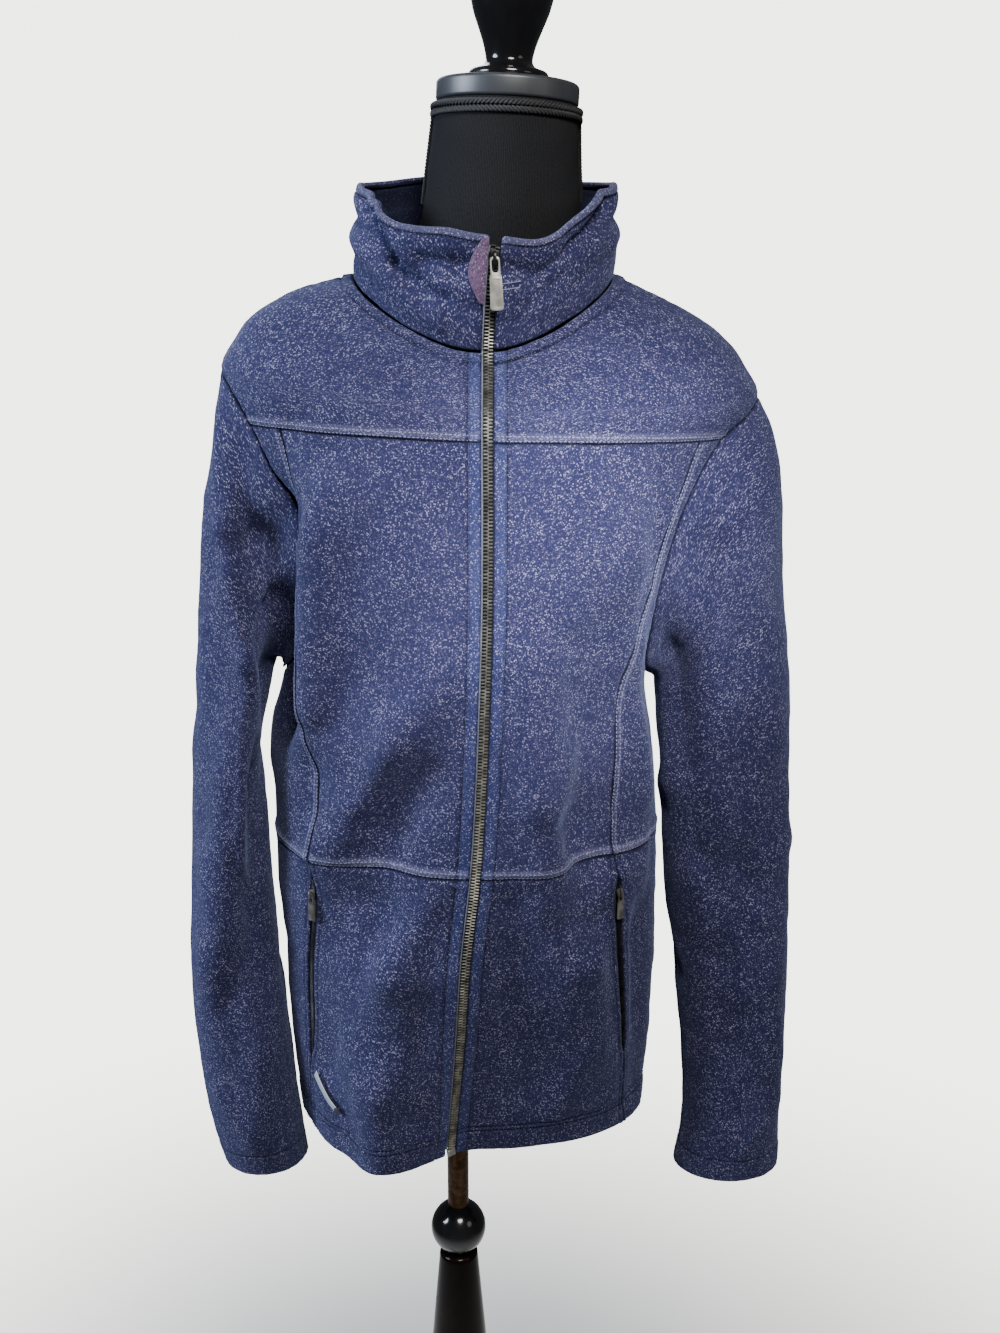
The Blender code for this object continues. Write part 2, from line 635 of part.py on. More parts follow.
def tube_slab(columns, rows):
    """A unit tube of columns by rows cells with two walls, as angle, row and depth of each vertex."""
    grid = bmesh.new()
    bmesh.ops.create_grid(grid, x_segments=columns, y_segments=rows, size=0.5)
    for vertex in grid.verts:
        turn = 2 * math.pi * (vertex.co.x + 0.5)
        vertex.co = (math.cos(turn), math.sin(turn), vertex.co.y)
    bmesh.ops.remove_doubles(grid, verts=grid.verts[:], dist=1e-5)
    bmesh.ops.recalc_face_normals(grid, faces=grid.faces[:])
    bmesh.ops.solidify(grid, geom=grid.faces[:], thickness=0.5)
    places = np.array([vertex.co[:] for vertex in grid.verts])
    across = np.rint(np.arctan2(places[:, 1], places[:, 0]) / (2 * math.pi) * columns).astype(int) % columns
    up = np.rint((places[:, 2] + 0.5) * rows).astype(int)
    radius = np.hypot(places[:, 0], places[:, 1])
    middle = (radius.max() + radius.min()) / 2
    return grid, across * 2 * math.pi / columns, up, np.where(radius > middle, 0.0, 1.0)


def sleeve(side, word):
    surface = sleeve_surface(side)
    shares = np.array([0.0, 0.04, 0.10, 0.17, 0.24, 0.30, 0.37, 0.45, 0.54, 0.63, 0.72, 0.81, 0.90, 0.965, 1.0])
    grid, around, up, depth = tube_slab(SLEEVE_COLUMNS, len(shares) - 1)
    share = shares[up]
    outer = surface(around, share)
    normal = facing(surface, around, share, 2e-3, 1e-3) * -side
    armhole_angle = side * (math.pi / 2 - ARMHOLE_HALF_ANGLE * np.cos(around))
    body_normal = facing(torso, armhole_angle, ARMHOLE_LEVEL + ARMHOLE_HALF_HEIGHT * np.sin(around))
    mitre = np.where(share == 0, np.clip(np.sin(around), 0, 1), 0)[:, None]
    inward = -unit(normal * (1 - mitre) + body_normal * mitre)
    gap = np.where(share == 0, SEAM_GAP, 0)[:, None] * np.array([side * 0.85, 0, -0.53])
    wall = np.where(share > 0.96, HEM_WALL, WALL) * depth
    mesh = carry(grid, outer + gap + wall[:, None] * inward, f"sleeve_{word}")
    return finish(f"sleeve_{word}", mesh, NAVY, 0.95)


def front_strip(name, half_width, near, far, colour, roughness=0.7, metallic=0.0):
    """A strip up the centre front and the collar, between two depths that may follow the cloth's wall."""
    body_rows = np.concatenate([[CHAIN_FOOT], LOWER_ROWS[1:], CHEST_ROWS[1:], YOKE_ROWS[1:-1]])
    collar_rows = np.array([0.05, 0.16, 0.40, 0.64, 0.80, 0.90])
    rows = np.arange(len(body_rows) + len(collar_rows))

    def place(share, row, depth):
        in_collar = row >= len(body_rows)
        level = body_rows[np.minimum(row, len(body_rows) - 1)]
        collar_level = collar_rows[np.clip(row - len(body_rows), 0, len(collar_rows) - 1)]
        narrow = in_collar | (level > YOKE_ROWS[-3])
        reach = (share - 0.5) * 2 * np.where(narrow, min(half_width, ZIP_CHAIN / 2), half_width)
        angle = shifted(torso, zip_angle(level), level, reach)
        high_angle = shifted(collar, collar_zip_angle(collar_level), collar_level, reach)
        point = np.where(in_collar[:, None], collar(high_angle, collar_level), torso(angle, level))
        normal = np.where(
            in_collar[:, None], facing(collar, high_angle, collar_level), facing(torso, angle, level)
        )
        wall = cloth_wall(level)
        return point - (near(wall) * (1 - depth) + far(wall) * depth)[:, None] * normal

    return panel(name, 2, rows, place, colour, roughness, metallic)


def centre_zip():
    """Chain, tape behind it, and the box that ends the chain at the hem."""
    front_strip(
        "zip_chain", ZIP_CHAIN / 2, lambda wall: 0 * wall - 0.0002, lambda wall: wall, GUNMETAL, 0.4, 0.9
    )
    front_strip(
        "zip_tape",
        TAPE_HALF_WIDTH,
        lambda wall: wall + TAPE_GAP,
        lambda wall: wall + TAPE_GAP + TAPE_WALL,
        DARK_NAVY,
    )

    def place(share, level, depth):
        angle = shifted(torso, zip_angle(level), level, (share - 0.5) * ZIP_CHAIN)
        normal = facing(torso, angle, level)
        return torso(angle, level) + (0.0012 - 0.0030 * depth)[:, None] * normal

    rows = np.array([HEM_LEVEL + 0.0006, CHAIN_FOOT - SEAM_GAP])
    panel("zip_foot_box", 2, rows, place, GUNMETAL, 0.4, 0.9)


def pocket_zip(side, word):
    """The closed zip of a pocket, in the gap of the princess seam."""
    end = POCKET_FADE * 0.6
    rows = np.array([POCKET_ZIP_FOOT - end, *POCKET_ROWS, POCKET_ZIP_TOP + end])

    def place(share, level, depth):
        middle = princess_angle(side, level)
        width = 2 * pocket_half_gap(level) - 2 * ZIP_CLEARANCE
        angle = shifted(torso, middle, level, (share - 0.5) * width)
        normal = facing(torso, angle, level)
        return torso(angle, level) - (0.0003 + 0.0016 * depth)[:, None] * normal

    return panel(f"pocket_zip_{word}", 2, rows, place, GUNMETAL, 0.5, 0.8)


def zip_guard():
    """The soft strip of the inner collar that shows beside the zip's top on the wearer's right."""
    rows = np.array([0.42, 0.50, 0.59, 0.69, 0.79, 0.89, 0.97])
    wall = 0.0016

    def place(share, level, depth):
        bulge = 0.0014 + 0.0106 * np.sin(math.pi * (level - 0.38) / 0.66) ** 1.2
        edge = shifted(collar, collar_zip_angle(level), level, -ZIP_OPENING / 2 - 0.0009)
        angle = shifted(collar, edge, level, -bulge * share)
        normal = facing(collar, angle, level)
        return collar(angle, level) + (SEAM_GAP + wall * (1 - depth))[:, None] * normal

    return panel("zip_guard", 3, rows, place, MAUVE)


def hem_label():
    """A narrow woven strip on the right pocket panel, sewn on slantwise above the hem."""
    length = 0.038
    width = 0.0060
    thickness = 0.0010
    lift = 0.0009                # clear of the panel's facets
    start_angle = math.radians(-59.5)
    start_level = 0.787
    fall = math.radians(29)

    def place(share, row, depth):
        along = length * row / 4
        across = width * (share - 0.5)
        level = start_level - along * math.sin(fall) + across * math.cos(fall)
        round_way = along * math.cos(fall) + across * math.sin(fall)
        angle = shifted(torso, np.full(level.shape, start_angle), level, round_way)
        normal = facing(torso, angle, level)
        return torso(angle, level) + (lift + thickness * (1 - depth))[:, None] * normal

    return panel("hem_label", 2, np.arange(5), place, GREY_LABEL, 0.6)


def form_surface(angle, level):
    """The padded form: inside the cloth all round, and close under it only at the shoulders."""
    inset = np.maximum(smooth(FORM_INSET["level"], FORM_INSET["inset"], level), WALL + FIT_GAP)
    inset = inset + FORM_FRONT_INSET * np.abs(np.cos(angle))
    return section(TORSO, angle, level) - inset[:, None] * facing(lambda u, v: section(TORSO, u, v), angle, level)


def dress_form():
    """Torso, shoulders and neck in one closed body, covered with jersey."""
    body_rows = np.array([0.780, 0.806, 0.868, 0.930, 1.000, 1.070, 1.130, 1.190, 1.240, 1.284, 1.302])
    body_rows = np.concatenate([body_rows, SHOULDER_ROWS])
    bridge_shares = np.array([0.12, 0.3, 0.5, 0.7, 0.88])
    neck_rows = np.array([0.0, 0.4, 1.0])
    columns = 28
    count = len(body_rows) + len(bridge_shares) + len(neck_rows)
    grid = bmesh.new()
    bmesh.ops.create_grid(grid, x_segments=columns, y_segments=count - 1, size=0.5)
    places = np.array([vertex.co[:] for vertex in grid.verts])
    across = np.rint((places[:, 0] + 0.5) * columns).astype(int) % columns
    up = np.rint((places[:, 1] + 0.5) * (count - 1)).astype(int)
    angle = across * 2 * math.pi / columns
    body = form_surface(angle, body_rows[np.minimum(up, len(body_rows) - 1)])
    body[up == 0, 2] = body_rows[0]                             # its underside is flat
    start = form_surface(angle, np.full(angle.shape, NECK_LEVEL))
    end = section(FORM_NECK, angle, np.zeros(angle.shape))
    s = bridge_shares[np.clip(up - len(body_rows), 0, len(bridge_shares) - 1)][:, None]
    reach = np.linalg.norm(end - start, axis=1, keepdims=True)
    inwards = -outward(angle) + np.array([0, 0, 0.15])
    upwards = np.array([0.05, 0, 1.0])
    rest = 1 - s
    bridge = (
        (1 + 2 * s) * rest**2 * start
        + s * rest**2 * reach * inwards
        + s**2 * (3 - 2 * s) * end
        - s**2 * rest * reach * upwards
    )
    neck = section(FORM_NECK, angle, neck_rows[np.clip(up - len(body_rows) - len(bridge_shares), 0, 2)])
    in_bridge = (up >= len(body_rows))[:, None]
    in_neck = (up >= len(body_rows) + len(bridge_shares))[:, None]
    points = np.where(in_neck, neck, np.where(in_bridge, bridge, body))
    for vertex, point in zip(grid.verts, points):
        vertex.co = point
    bmesh.ops.remove_doubles(grid, verts=grid.verts[:], dist=1e-6)
    bmesh.ops.holes_fill(grid, edges=[edge for edge in grid.edges if edge.is_boundary])
    bmesh.ops.recalc_face_normals(grid, faces=grid.faces[:])
    mesh = bpy.data.meshes.new("form_body")
    grid.to_mesh(mesh)
    grid.free()
    return finish("form_body", mesh, BLACK_JERSEY, 0.9)


def turned(name, profile, colour, roughness, metallic=0.0, segments=24):
    """A turned piece: its profile, in radius and height from the top down, swept round +Z."""
    outline = bmesh.new()
    points = [outline.verts.new((radius, 0, height)) for radius, height in profile]
    for first, second in zip(points, points[1:]):
        outline.edges.new((first, second))
    mesh = bpy.data.meshes.new(name)
    outline.to_mesh(mesh)
    outline.free()
    made = finish(name, mesh, colour, roughness, metallic)
    screw = made.modifiers.new("turning", "SCREW")
    screw.axis = "Z"
    screw.steps = segments
    screw.render_steps = segments
    screw.use_merge_vertices = True
    screw.merge_threshold = 0.00005
    screw.use_smooth_shade = True
    return made


def arc(centre_radius, centre_height, size, start, end, count):
    """Points of a round moulding, its angles in degrees from straight up, clockwise."""
    turns = np.radians(np.linspace(start, end, count))
    return [
        (centre_radius + size * math.sin(turn), centre_height + size * math.cos(turn)) for turn in turns
    ]


def box(name, size, centre):
    """A loose box, as a mesh object, for pieces that are joined or cut from boxes."""
    made = bmesh.new()
    bmesh.ops.create_cube(made, size=1.0)
    bmesh.ops.scale(made, vec=size, verts=made.verts)
    bmesh.ops.translate(made, vec=centre, verts=made.verts)
    mesh = bpy.data.meshes.new(name)
    made.to_mesh(mesh)
    made.free()
    return mesh


def helper(name, mesh, matrix):
    """A cutter or a joining piece, left out of renders."""
    made = bpy.data.objects.new(name, mesh)
    made.matrix_world = matrix
    made.hide_render = True
    made.display_type = "WIRE"
    CUTTERS.objects.link(made)
    return made


def boolean(target, other, operation):
    modifier = target.modifiers.new(other.name, "BOOLEAN")
    modifier.operation = operation
    modifier.object = other
    modifier.solver = "EXACT"


def surface_frame(surface, angle, level, lift, roll=0.0):
    """A frame on the cloth: X across, Z up along it, -Y outwards, turned by roll about its outward axis."""
    at = np.array([angle])
    height = np.array([level])
    normal = facing(surface, at, height)[0]
    up = (surface(at, height + 1e-3) - surface(at, height - 1e-3))[0]
    inward = Vector(-normal)
    up = Vector(up)
    up = (up - up.dot(inward) * inward).normalized()
    across = inward.cross(up)
    origin = STAND_AXIS + Vector(surface(at, height)[0] + lift * normal)
    turned_axes = Matrix((across, inward, up)).transposed().to_4x4() @ Matrix.Rotation(roll, 4, "Y")
    return Matrix.Translation(origin) @ turned_axes


def slider(name, frame, scale):
    """A zip slider: a plate over the chain with a bridge that holds the pull's crossbar."""
    plate = box(name, Vector((7.4, 2.2, 10.5)) * scale, Vector((0, -1.1, 0)) * scale)
    made = finish(name, plate, GUNMETAL, 0.35, 1.0)
    made.matrix_world = frame
    for height in (-3.9, 3.9):
        post = box(f"{name}_post", Vector((2.4, 5.2, 1.6)) * scale, Vector((0, -3.6, height)) * scale)
        boolean(made, helper(f"{name}_post_{'low' if height < 0 else 'high'}", post, frame), "UNION")
    bridge = box(f"{name}_bridge", Vector((2.4, 1.5, 9.4)) * scale, Vector((0, -6.05, 0)) * scale)
    boolean(made, helper(f"{name}_bridge", bridge, frame), "UNION")
    bevel = made.modifiers.new("edges", "BEVEL")
    bevel.width = 0.0003 * scale / MILLIMETRE
    bevel.segments = 1
    return made


def pull_tab(name, frame, scale, width, length, colour):
    """A pull tab that hangs plumb from its crossbar. Its origin lies on the crossbar's axis."""
    axis_point = frame @ (Vector((0, PULL_AXIS, 0)) * scale)
    across = (frame.to_3x3() @ Vector((1, 0, 0))).normalized()
    up = (Vector((0, 0, 1)) - across.z * across).normalized()
    axes = Matrix((across, up.cross(across), up)).transposed().to_4x4()
    hanging = Matrix.Translation(axis_point) @ axes
    half_bar = 0.8 * scale
    eye = 9.0 * scale
    plate = box(name, (width, PULL_WALL * scale, length), (0, 0, half_bar - length / 2))
    made = finish(name, plate, colour, 0.35, 1.0)
    made.matrix_world = hanging
    slot = box(f"{name}_eye", (4.6 * scale, 6 * scale, eye), (0, 0, -half_bar - eye / 2))
    boolean(made, helper(f"{name}_eye", slot, hanging), "DIFFERENCE")
    bevel = made.modifiers.new("edges", "BEVEL")
    bevel.width = 0.00035
    bevel.segments = 1
    return made


def hardware():
    """The three sliders, closed, with their pull tabs."""
    level = MAIN_SLIDER_LEVEL
    middle = float(collar_zip_angle(np.array([level]))[0])
    frame = surface_frame(collar, middle, level, MAIN_SLIDER_LIFT, MAIN_SLIDER_ROLL)
    slider("main_slider", frame, MILLIMETRE)
    pull_tab("main_pull", frame, MILLIMETRE, 0.0090, 0.0345, PALE_METAL)
    for side, word in ((1, "left"), (-1, "right")):
        angle = float(princess_angle(side, POCKET_SLIDER_LEVEL))
        frame = surface_frame(torso, angle, POCKET_SLIDER_LEVEL, POCKET_SLIDER_LIFT)
        slider(f"pocket_slider_{word}", frame, POCKET_SLIDER_SCALE)
        pull_tab(f"pocket_pull_{word}", frame, POCKET_SLIDER_SCALE, 0.0066, 0.0215, GUNMETAL)


def neck_frame(level):
    """The middle of the form's neck, with Z along its lean."""
    row = {name: float(smooth(FORM_NECK["level"], FORM_NECK[name], level)) for name in SECTION_COLUMNS}
    origin = STAND_AXIS + Vector((row["centre"], 0, row["height"]))
    return Matrix.Translation(origin) @ Matrix.Rotation(math.atan(row["tilt"]), 4, "Y")


def neck_trim():
    """The braid round the neck's top and down both its sides."""
    at = 0.915
    radius = float(smooth(FORM_NECK["level"], FORM_NECK["half"], at))
    minor = 0.0014               # its thickness outwards; it is 3.4 times as tall
    bpy.ops.mesh.primitive_torus_add(
        major_segments=28,
        minor_segments=6,
        major_radius=radius + minor + 2 * SEAM_GAP,
        minor_radius=minor,
    )
    ring = bpy.context.object
    mesh = ring.data
    bpy.data.objects.remove(ring)
    mesh.name = "neck_braid"
    mesh.transform(Matrix.Diagonal((1, 1, 3.4, 1)))
    finish("neck_braid", mesh, BLACK_JERSEY, 0.7).matrix_world = neck_frame(at)

    for side, word in ((1, "left"), (-1, "right")):

        def place(share, level, depth, side=side):
            angle = side * math.pi / 2 + (share - 0.5) * 0.0042 / radius
            normal = facing(lambda u, v: section(FORM_NECK, u, v), angle, level)
            return section(FORM_NECK, angle, level) + (SEAM_GAP + 0.0022 * (1 - depth))[:, None] * normal

        panel(f"side_braid_{word}", 2, np.array([0.04, 0.25, 0.50, 0.80]), place, BLACK_JERSEY, 0.7)


def neck_cap_and_finial():
    frame = neck_frame(1.0) @ Matrix.Translation((0, 0, SEAM_GAP))
    edge = arc(CAP_RADIUS - 0.0030, CAP_HEIGHT - 0.0030, 0.0030, 0, 90, 4)
    lower_edge = arc(CAP_RADIUS - 0.0024, 0.0024, 0.0024, 90, 180, 4)
    cap = turned("neck_cap", [(0, CAP_HEIGHT), *edge, *lower_edge, (0, 0)], BLACK_WOOD, 0.3, 0, 28)
    cap.matrix_world = frame
    profile = (
        [(0, 0.0935), (0.0080, 0.0928), (0.0165, 0.0895), (0.0240, 0.0835), (0.0286, 0.0750)]
        + [(0.0300, 0.0660), (0.0294, 0.0570), (0.0268, 0.0460), (0.0225, 0.0355), (0.0185, 0.0250)]
        + [(0.0166, 0.0175), (0.0164, 0.0138), (0.0185, 0.0105)]
        + arc(0.0245, 0.0046, 0.0038, 0, 180, 6)
        + [(0, 0.0008)]
    )
    finial = turned("finial", profile, BLACK_WOOD, 0.15, 0, 20)
    finial.matrix_world = frame @ Matrix.Translation((0, 0, CAP_HEIGHT + SEAM_GAP - 0.0008))


def stand():
    """Pole, ball collar, turned column and its three legs."""
    form_foot = float(FORM_INSET["level"][0])
    pole_foot = COLUMN_TOP + 2 * BALL_HALF_HEIGHT + 2 * SEAM_GAP
    pole_profile = [(0, form_foot - SEAM_GAP), (POLE_RADIUS, form_foot - SEAM_GAP), (POLE_RADIUS, pole_foot)]
    turned("pole", [*pole_profile, (0, pole_foot)], BRONZE, 0.3, 0.8, 16)
    ball_middle = COLUMN_TOP + SEAM_GAP + BALL_HALF_HEIGHT
    flat = math.degrees(math.acos(BALL_HALF_HEIGHT / BALL_RADIUS))
    ball = arc(0, ball_middle, BALL_RADIUS, flat, 180 - flat, 9)
    ball_top = (0, ball_middle + BALL_HALF_HEIGHT)
    turned("ball_collar", [ball_top, *ball, (0, ball_middle - BALL_HALF_HEIGHT)], BLACK_WOOD, 0.1, 0, 20)
    profile = [(0, COLUMN_TOP)] + [(radius, height) for height, radius in zip(*COLUMN.values())]
    turned("column", [*profile, (0, float(COLUMN["height"][-1]))], BROWN_WOOD, 0.3, 0, 20)
    for word, heading in LEG_HEADINGS:
        leg(f"leg_{word}", math.radians(heading))


def leg(name, heading):
    """A curved leg, sawn from a board, from the column's hub to a flat foot."""
    reach = np.linspace(LEG["reach"][0], LEG["reach"][-1], 15)
    top = smooth(LEG["reach"], LEG["top"], reach)
    under = np.clip(smooth(LEG["reach"], LEG["under"], reach), 0, None)
    under = np.where(reach > FOOT_START, 0.0, under)
    curve = bpy.data.curves.new(name, "CURVE")
    curve.dimensions = "2D"
    curve.fill_mode = "BOTH"
    curve.extrude = LEG_THICKNESS / 2
    line = curve.splines.new("POLY")
    outline = [*zip(reach, top), *zip(reach[::-1], under[::-1])]
    line.points.add(len(outline) - 1)
    for point, (x, y) in zip(line.points, outline):
        point.co = (x, y, 0, 1)
    line.use_cyclic_u = True
    made = bpy.data.objects.new(name, curve)
    curve.materials.append(material(name, BROWN_WOOD, 0.3))
    made.matrix_world = (
        Matrix.Translation(STAND_AXIS) @ Matrix.Rotation(heading, 4, "Z") @ Matrix.Rotation(math.pi / 2, 4, "X")
    )
    PARTS.objects.link(made)
    weld = made.modifiers.new("closed", "WELD")
    weld.merge_threshold = 0.00001
    bevel = made.modifiers.new("edges", "BEVEL")
    bevel.width = 0.0018
    bevel.segments = 1


PARTS = None
CUTTERS = None


def start_scene():
    global PARTS, CUTTERS
    for thing in list(bpy.data.objects):
        bpy.data.objects.remove(thing)
    PARTS = bpy.data.collections.new("fleece_zip_jacket")
    CUTTERS = bpy.data.collections.new("cutters")
    bpy.context.scene.collection.children.link(PARTS)
    bpy.context.scene.collection.children.link(CUTTERS)


def main():
    start_scene()
    fronts()
    back()
    collar_piece()
    sleeve(1, "left")
    sleeve(-1, "right")
    centre_zip()
    for side, word in ((1, "left"), (-1, "right")):
        pocket_zip(side, word)
    zip_guard()
    hem_label()
    hardware()
    dress_form()
    neck_trim()
    neck_cap_and_finial()
    stand()


main()
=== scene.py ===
# %% [markdown]
# # A fleece zip jacket on a dress form
# The jacket is cut from a soft heathered fleece and hangs on a padded form with a turned wooden stand.
# A real one is made from flat pieces: yokes, fronts, side and hip panels, a back, a collar and two
# sleeves, sewn together and closed with a zip. The script follows that order. Every cloth piece is a
# flat grid that is carried onto one shared surface of the garment, so neighbours meet at their seams.

import math
from functools import partial
from math import pi, radians

import bmesh
import bpy
import numpy as np
from mathutils import Matrix, Vector
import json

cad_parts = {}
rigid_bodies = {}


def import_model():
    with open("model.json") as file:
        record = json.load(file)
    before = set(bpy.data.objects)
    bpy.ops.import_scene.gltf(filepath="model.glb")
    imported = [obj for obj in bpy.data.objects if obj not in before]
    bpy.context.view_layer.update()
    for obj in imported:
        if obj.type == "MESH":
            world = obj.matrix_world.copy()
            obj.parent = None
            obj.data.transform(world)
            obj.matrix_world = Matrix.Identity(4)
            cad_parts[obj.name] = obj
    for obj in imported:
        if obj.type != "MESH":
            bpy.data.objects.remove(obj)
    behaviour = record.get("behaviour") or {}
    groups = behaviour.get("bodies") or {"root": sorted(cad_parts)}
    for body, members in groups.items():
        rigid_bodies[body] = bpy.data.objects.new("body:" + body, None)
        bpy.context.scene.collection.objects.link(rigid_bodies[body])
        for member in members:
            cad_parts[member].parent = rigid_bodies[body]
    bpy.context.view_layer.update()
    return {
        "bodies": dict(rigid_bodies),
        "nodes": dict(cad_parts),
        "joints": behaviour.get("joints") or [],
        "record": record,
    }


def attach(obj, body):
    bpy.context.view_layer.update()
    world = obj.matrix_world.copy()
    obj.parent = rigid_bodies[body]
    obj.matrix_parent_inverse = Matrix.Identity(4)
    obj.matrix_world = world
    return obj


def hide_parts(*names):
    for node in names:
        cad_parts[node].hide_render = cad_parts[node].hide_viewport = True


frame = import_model()
BODY = "jacket_on_form"
MM = 0.001

# %% [markdown]
# ## Nodes in few words
# Shader trees are built by helpers: each node is made and fed in one line.

# %% Helpers for shader nodes
def shader_group(name, inputs, outputs):
    """An empty shader group with its named sockets, its inputs' node and its outputs' node."""
    group = bpy.data.node_groups.new(name, "ShaderNodeTree")
    for word, kind, value in inputs:
        socket = group.interface.new_socket(word, in_out="INPUT", socket_type=f"NodeSocket{kind}")
        if value is not None:
            socket.default_value = value
    for word, kind in outputs:
        group.interface.new_socket(word, in_out="OUTPUT", socket_type=f"NodeSocket{kind}")
    return group, group.nodes.new("NodeGroupInput").outputs, group.nodes.new("NodeGroupOutput").inputs


def node(tree, kind, fed=None, **settings):
    """A node in a tree. fed gives, for each input, another node's output or a plain value."""
    made = tree.nodes.new(f"ShaderNode{kind}")
    for word, value in settings.items():
        setattr(made, word, value)
    for socket, source in (fed or {}).items():
        if isinstance(source, bpy.types.NodeSocket):
            tree.links.new(source, made.inputs[socket])
        else:
            made.inputs[socket].default_value = source
    return made


def math_node(tree, operation, first, second=0.0, third=0.0):
    return node(tree, "Math", {0: first, 1: second, 2: third}, operation=operation).outputs[0]


def soft_step(tree, value, low, high):
    """0 below low, 1 above high, and a smooth change between."""
    fed = {"Value": value, "From Min": low, "From Max": high}
    return node(tree, "MapRange", fed, interpolation_type="SMOOTHSTEP").outputs["Result"]


def mixed(tree, share, first, second):
    made = node(tree, "Mix", {0: share, 6: first, 7: second}, data_type="RGBA")
    return made.outputs[2]


def tinted(*colour):
    return (*colour, 1.0)


def plain_value(value):
    return tinted(*value) if isinstance(value, tuple) else value


print("the node helpers are ready")

# %% [markdown]
# ## The camera
# It looks down on the chest by fifteen degrees. The lens is the focal length in pixels times the sensor's height
# over the picture's height. A plain turn about X keeps the stand upright in the picture.

# %% The camera
camera_data = bpy.data.cameras.new("studio_camera")
camera_data.sensor_fit = "VERTICAL"
camera_data.sensor_height = 36
camera_data.lens = 1400 / 1333 * 36
camera = bpy.data.objects.new("studio_camera", camera_data)
bpy.context.scene.collection.objects.link(camera)
camera.location = (0.006, -1.110, 1.38)
camera.rotation_euler = (radians(75), 0, 0)
bpy.context.scene.camera = camera
print("lens:", round(camera_data.lens, 2), "mm")

# %% [markdown]
# ## Light and floor
# Dark fleece shows its folds only when light grazes them: a soft lamp hangs high in front, a cool window stands at
# the left, a weaker one at the right, a narrow lamp lifts one side of the chest, and the room gives little light.
# The pale surround is for camera rays alone, and the floor fades into it, so that no horizon shows.

# %% Light
def soft_light(name, place, aim, size, watts, colour, spread=180):
    """A round area light at a place, aimed at a point. With a spread, it lights a cone of that many degrees."""
    data = bpy.data.lights.new(name, "AREA")
    data.shape = "DISK"
    data.size = size
    data.spread = radians(spread)
    data.energy = watts
    data.color = colour
    lamp = bpy.data.objects.new(name, data)
    lamp.location = place
    lamp.rotation_euler = (Vector(aim) - Vector(place)).to_track_quat("-Z", "Y").to_euler()
    bpy.context.scene.collection.objects.link(lamp)
    return lamp


soft_light("lamp", (0.30, -1.45, 2.50), (0.0, -0.1, 1.20), 0.7, 47, (1.0, 0.98, 0.95))
soft_light("left_window", (-2.1, -0.7, 2.0), (0.0, -0.1, 1.1), 1.0, 84, (0.72, 0.82, 1.0))
soft_light("right_window", (2.1, -1.5, 1.9), (0.0, -0.1, 1.1), 1.0, 5, (1.0, 0.96, 0.92))
soft_light("chest_lamp", (0.42, -1.05, 1.80), (0.085, -0.2, 1.235), 0.16, 0.5, (0.96, 0.98, 1.0), 18)
soft_light("back_window", (-0.6, 2.4, 2.6), (0.0, 0.0, 1.1), 1.6, 24, (0.95, 0.97, 1.0))

world = bpy.data.worlds.new("pale_room")
bpy.context.scene.world = world
world.use_nodes = True
sky = world.node_tree
room = sky.nodes["Background"]
room.inputs["Color"].default_value = (0.78, 0.84, 0.95, 1)
room.inputs["Strength"].default_value = 0.09
surround = node(sky, "Background", {"Color": (0.93, 0.93, 0.89, 1), "Strength": 4.5}).outputs[0]
seen = node(sky, "LightPath").outputs["Is Camera Ray"]
either = node(sky, "MixShader", {0: seen, 1: room.outputs[0], 2: surround}).outputs[0]
sky.links.new(either, sky.nodes["World Output"].inputs["Surface"])

# %% Floor
floor_mesh = bmesh.new()
bmesh.ops.create_grid(floor_mesh, x_segments=4, y_segments=4, size=14)
floor_data = bpy.data.meshes.new("floor")
floor_mesh.to_mesh(floor_data)
floor_mesh.free()
floor = bpy.data.objects.new("floor", floor_data)
bpy.context.scene.collection.objects.link(floor)
floor.visible_diffuse = False
floor_finish = bpy.data.materials.new("pale_floor")
floor_finish.use_nodes = True
floor_tree = floor_finish.node_tree
floor_shader = floor_tree.nodes["Principled BSDF"]
floor_shader.inputs["Base Color"].default_value = (0.86, 0.83, 0.78, 1)
floor_shader.inputs["Roughness"].default_value = 0.8
floor_place = node(floor_tree, "TexCoord").outputs["Object"]
fade = {"Value": node(floor_tree, "VectorMath", {0: floor_place}, operation="LENGTH").outputs["Value"],
    "From Min": 0.35, "From Max": 1.5, "To Min": 1, "To Max": 0}
fade = node(floor_tree, "MapRange", fade, interpolation_type="SMOOTHSTEP").outputs["Result"]
floor_tree.links.new(fade, floor_shader.inputs["Alpha"])
floor_data.materials.append(floor_finish)
print("floor:", round(floor.dimensions.x, 1), "m wide")

# %% [markdown]
# ## The garment's sizes
# Sizes are in metres, with +Z up; the wearer faces -Y and the wearer's left is at +X. The body and the collar are
# stacks of rounded sections. A section has a centre, a half width, a depth to the front and to the back, and a
# squareness; near the neck its front dips and its back rises.

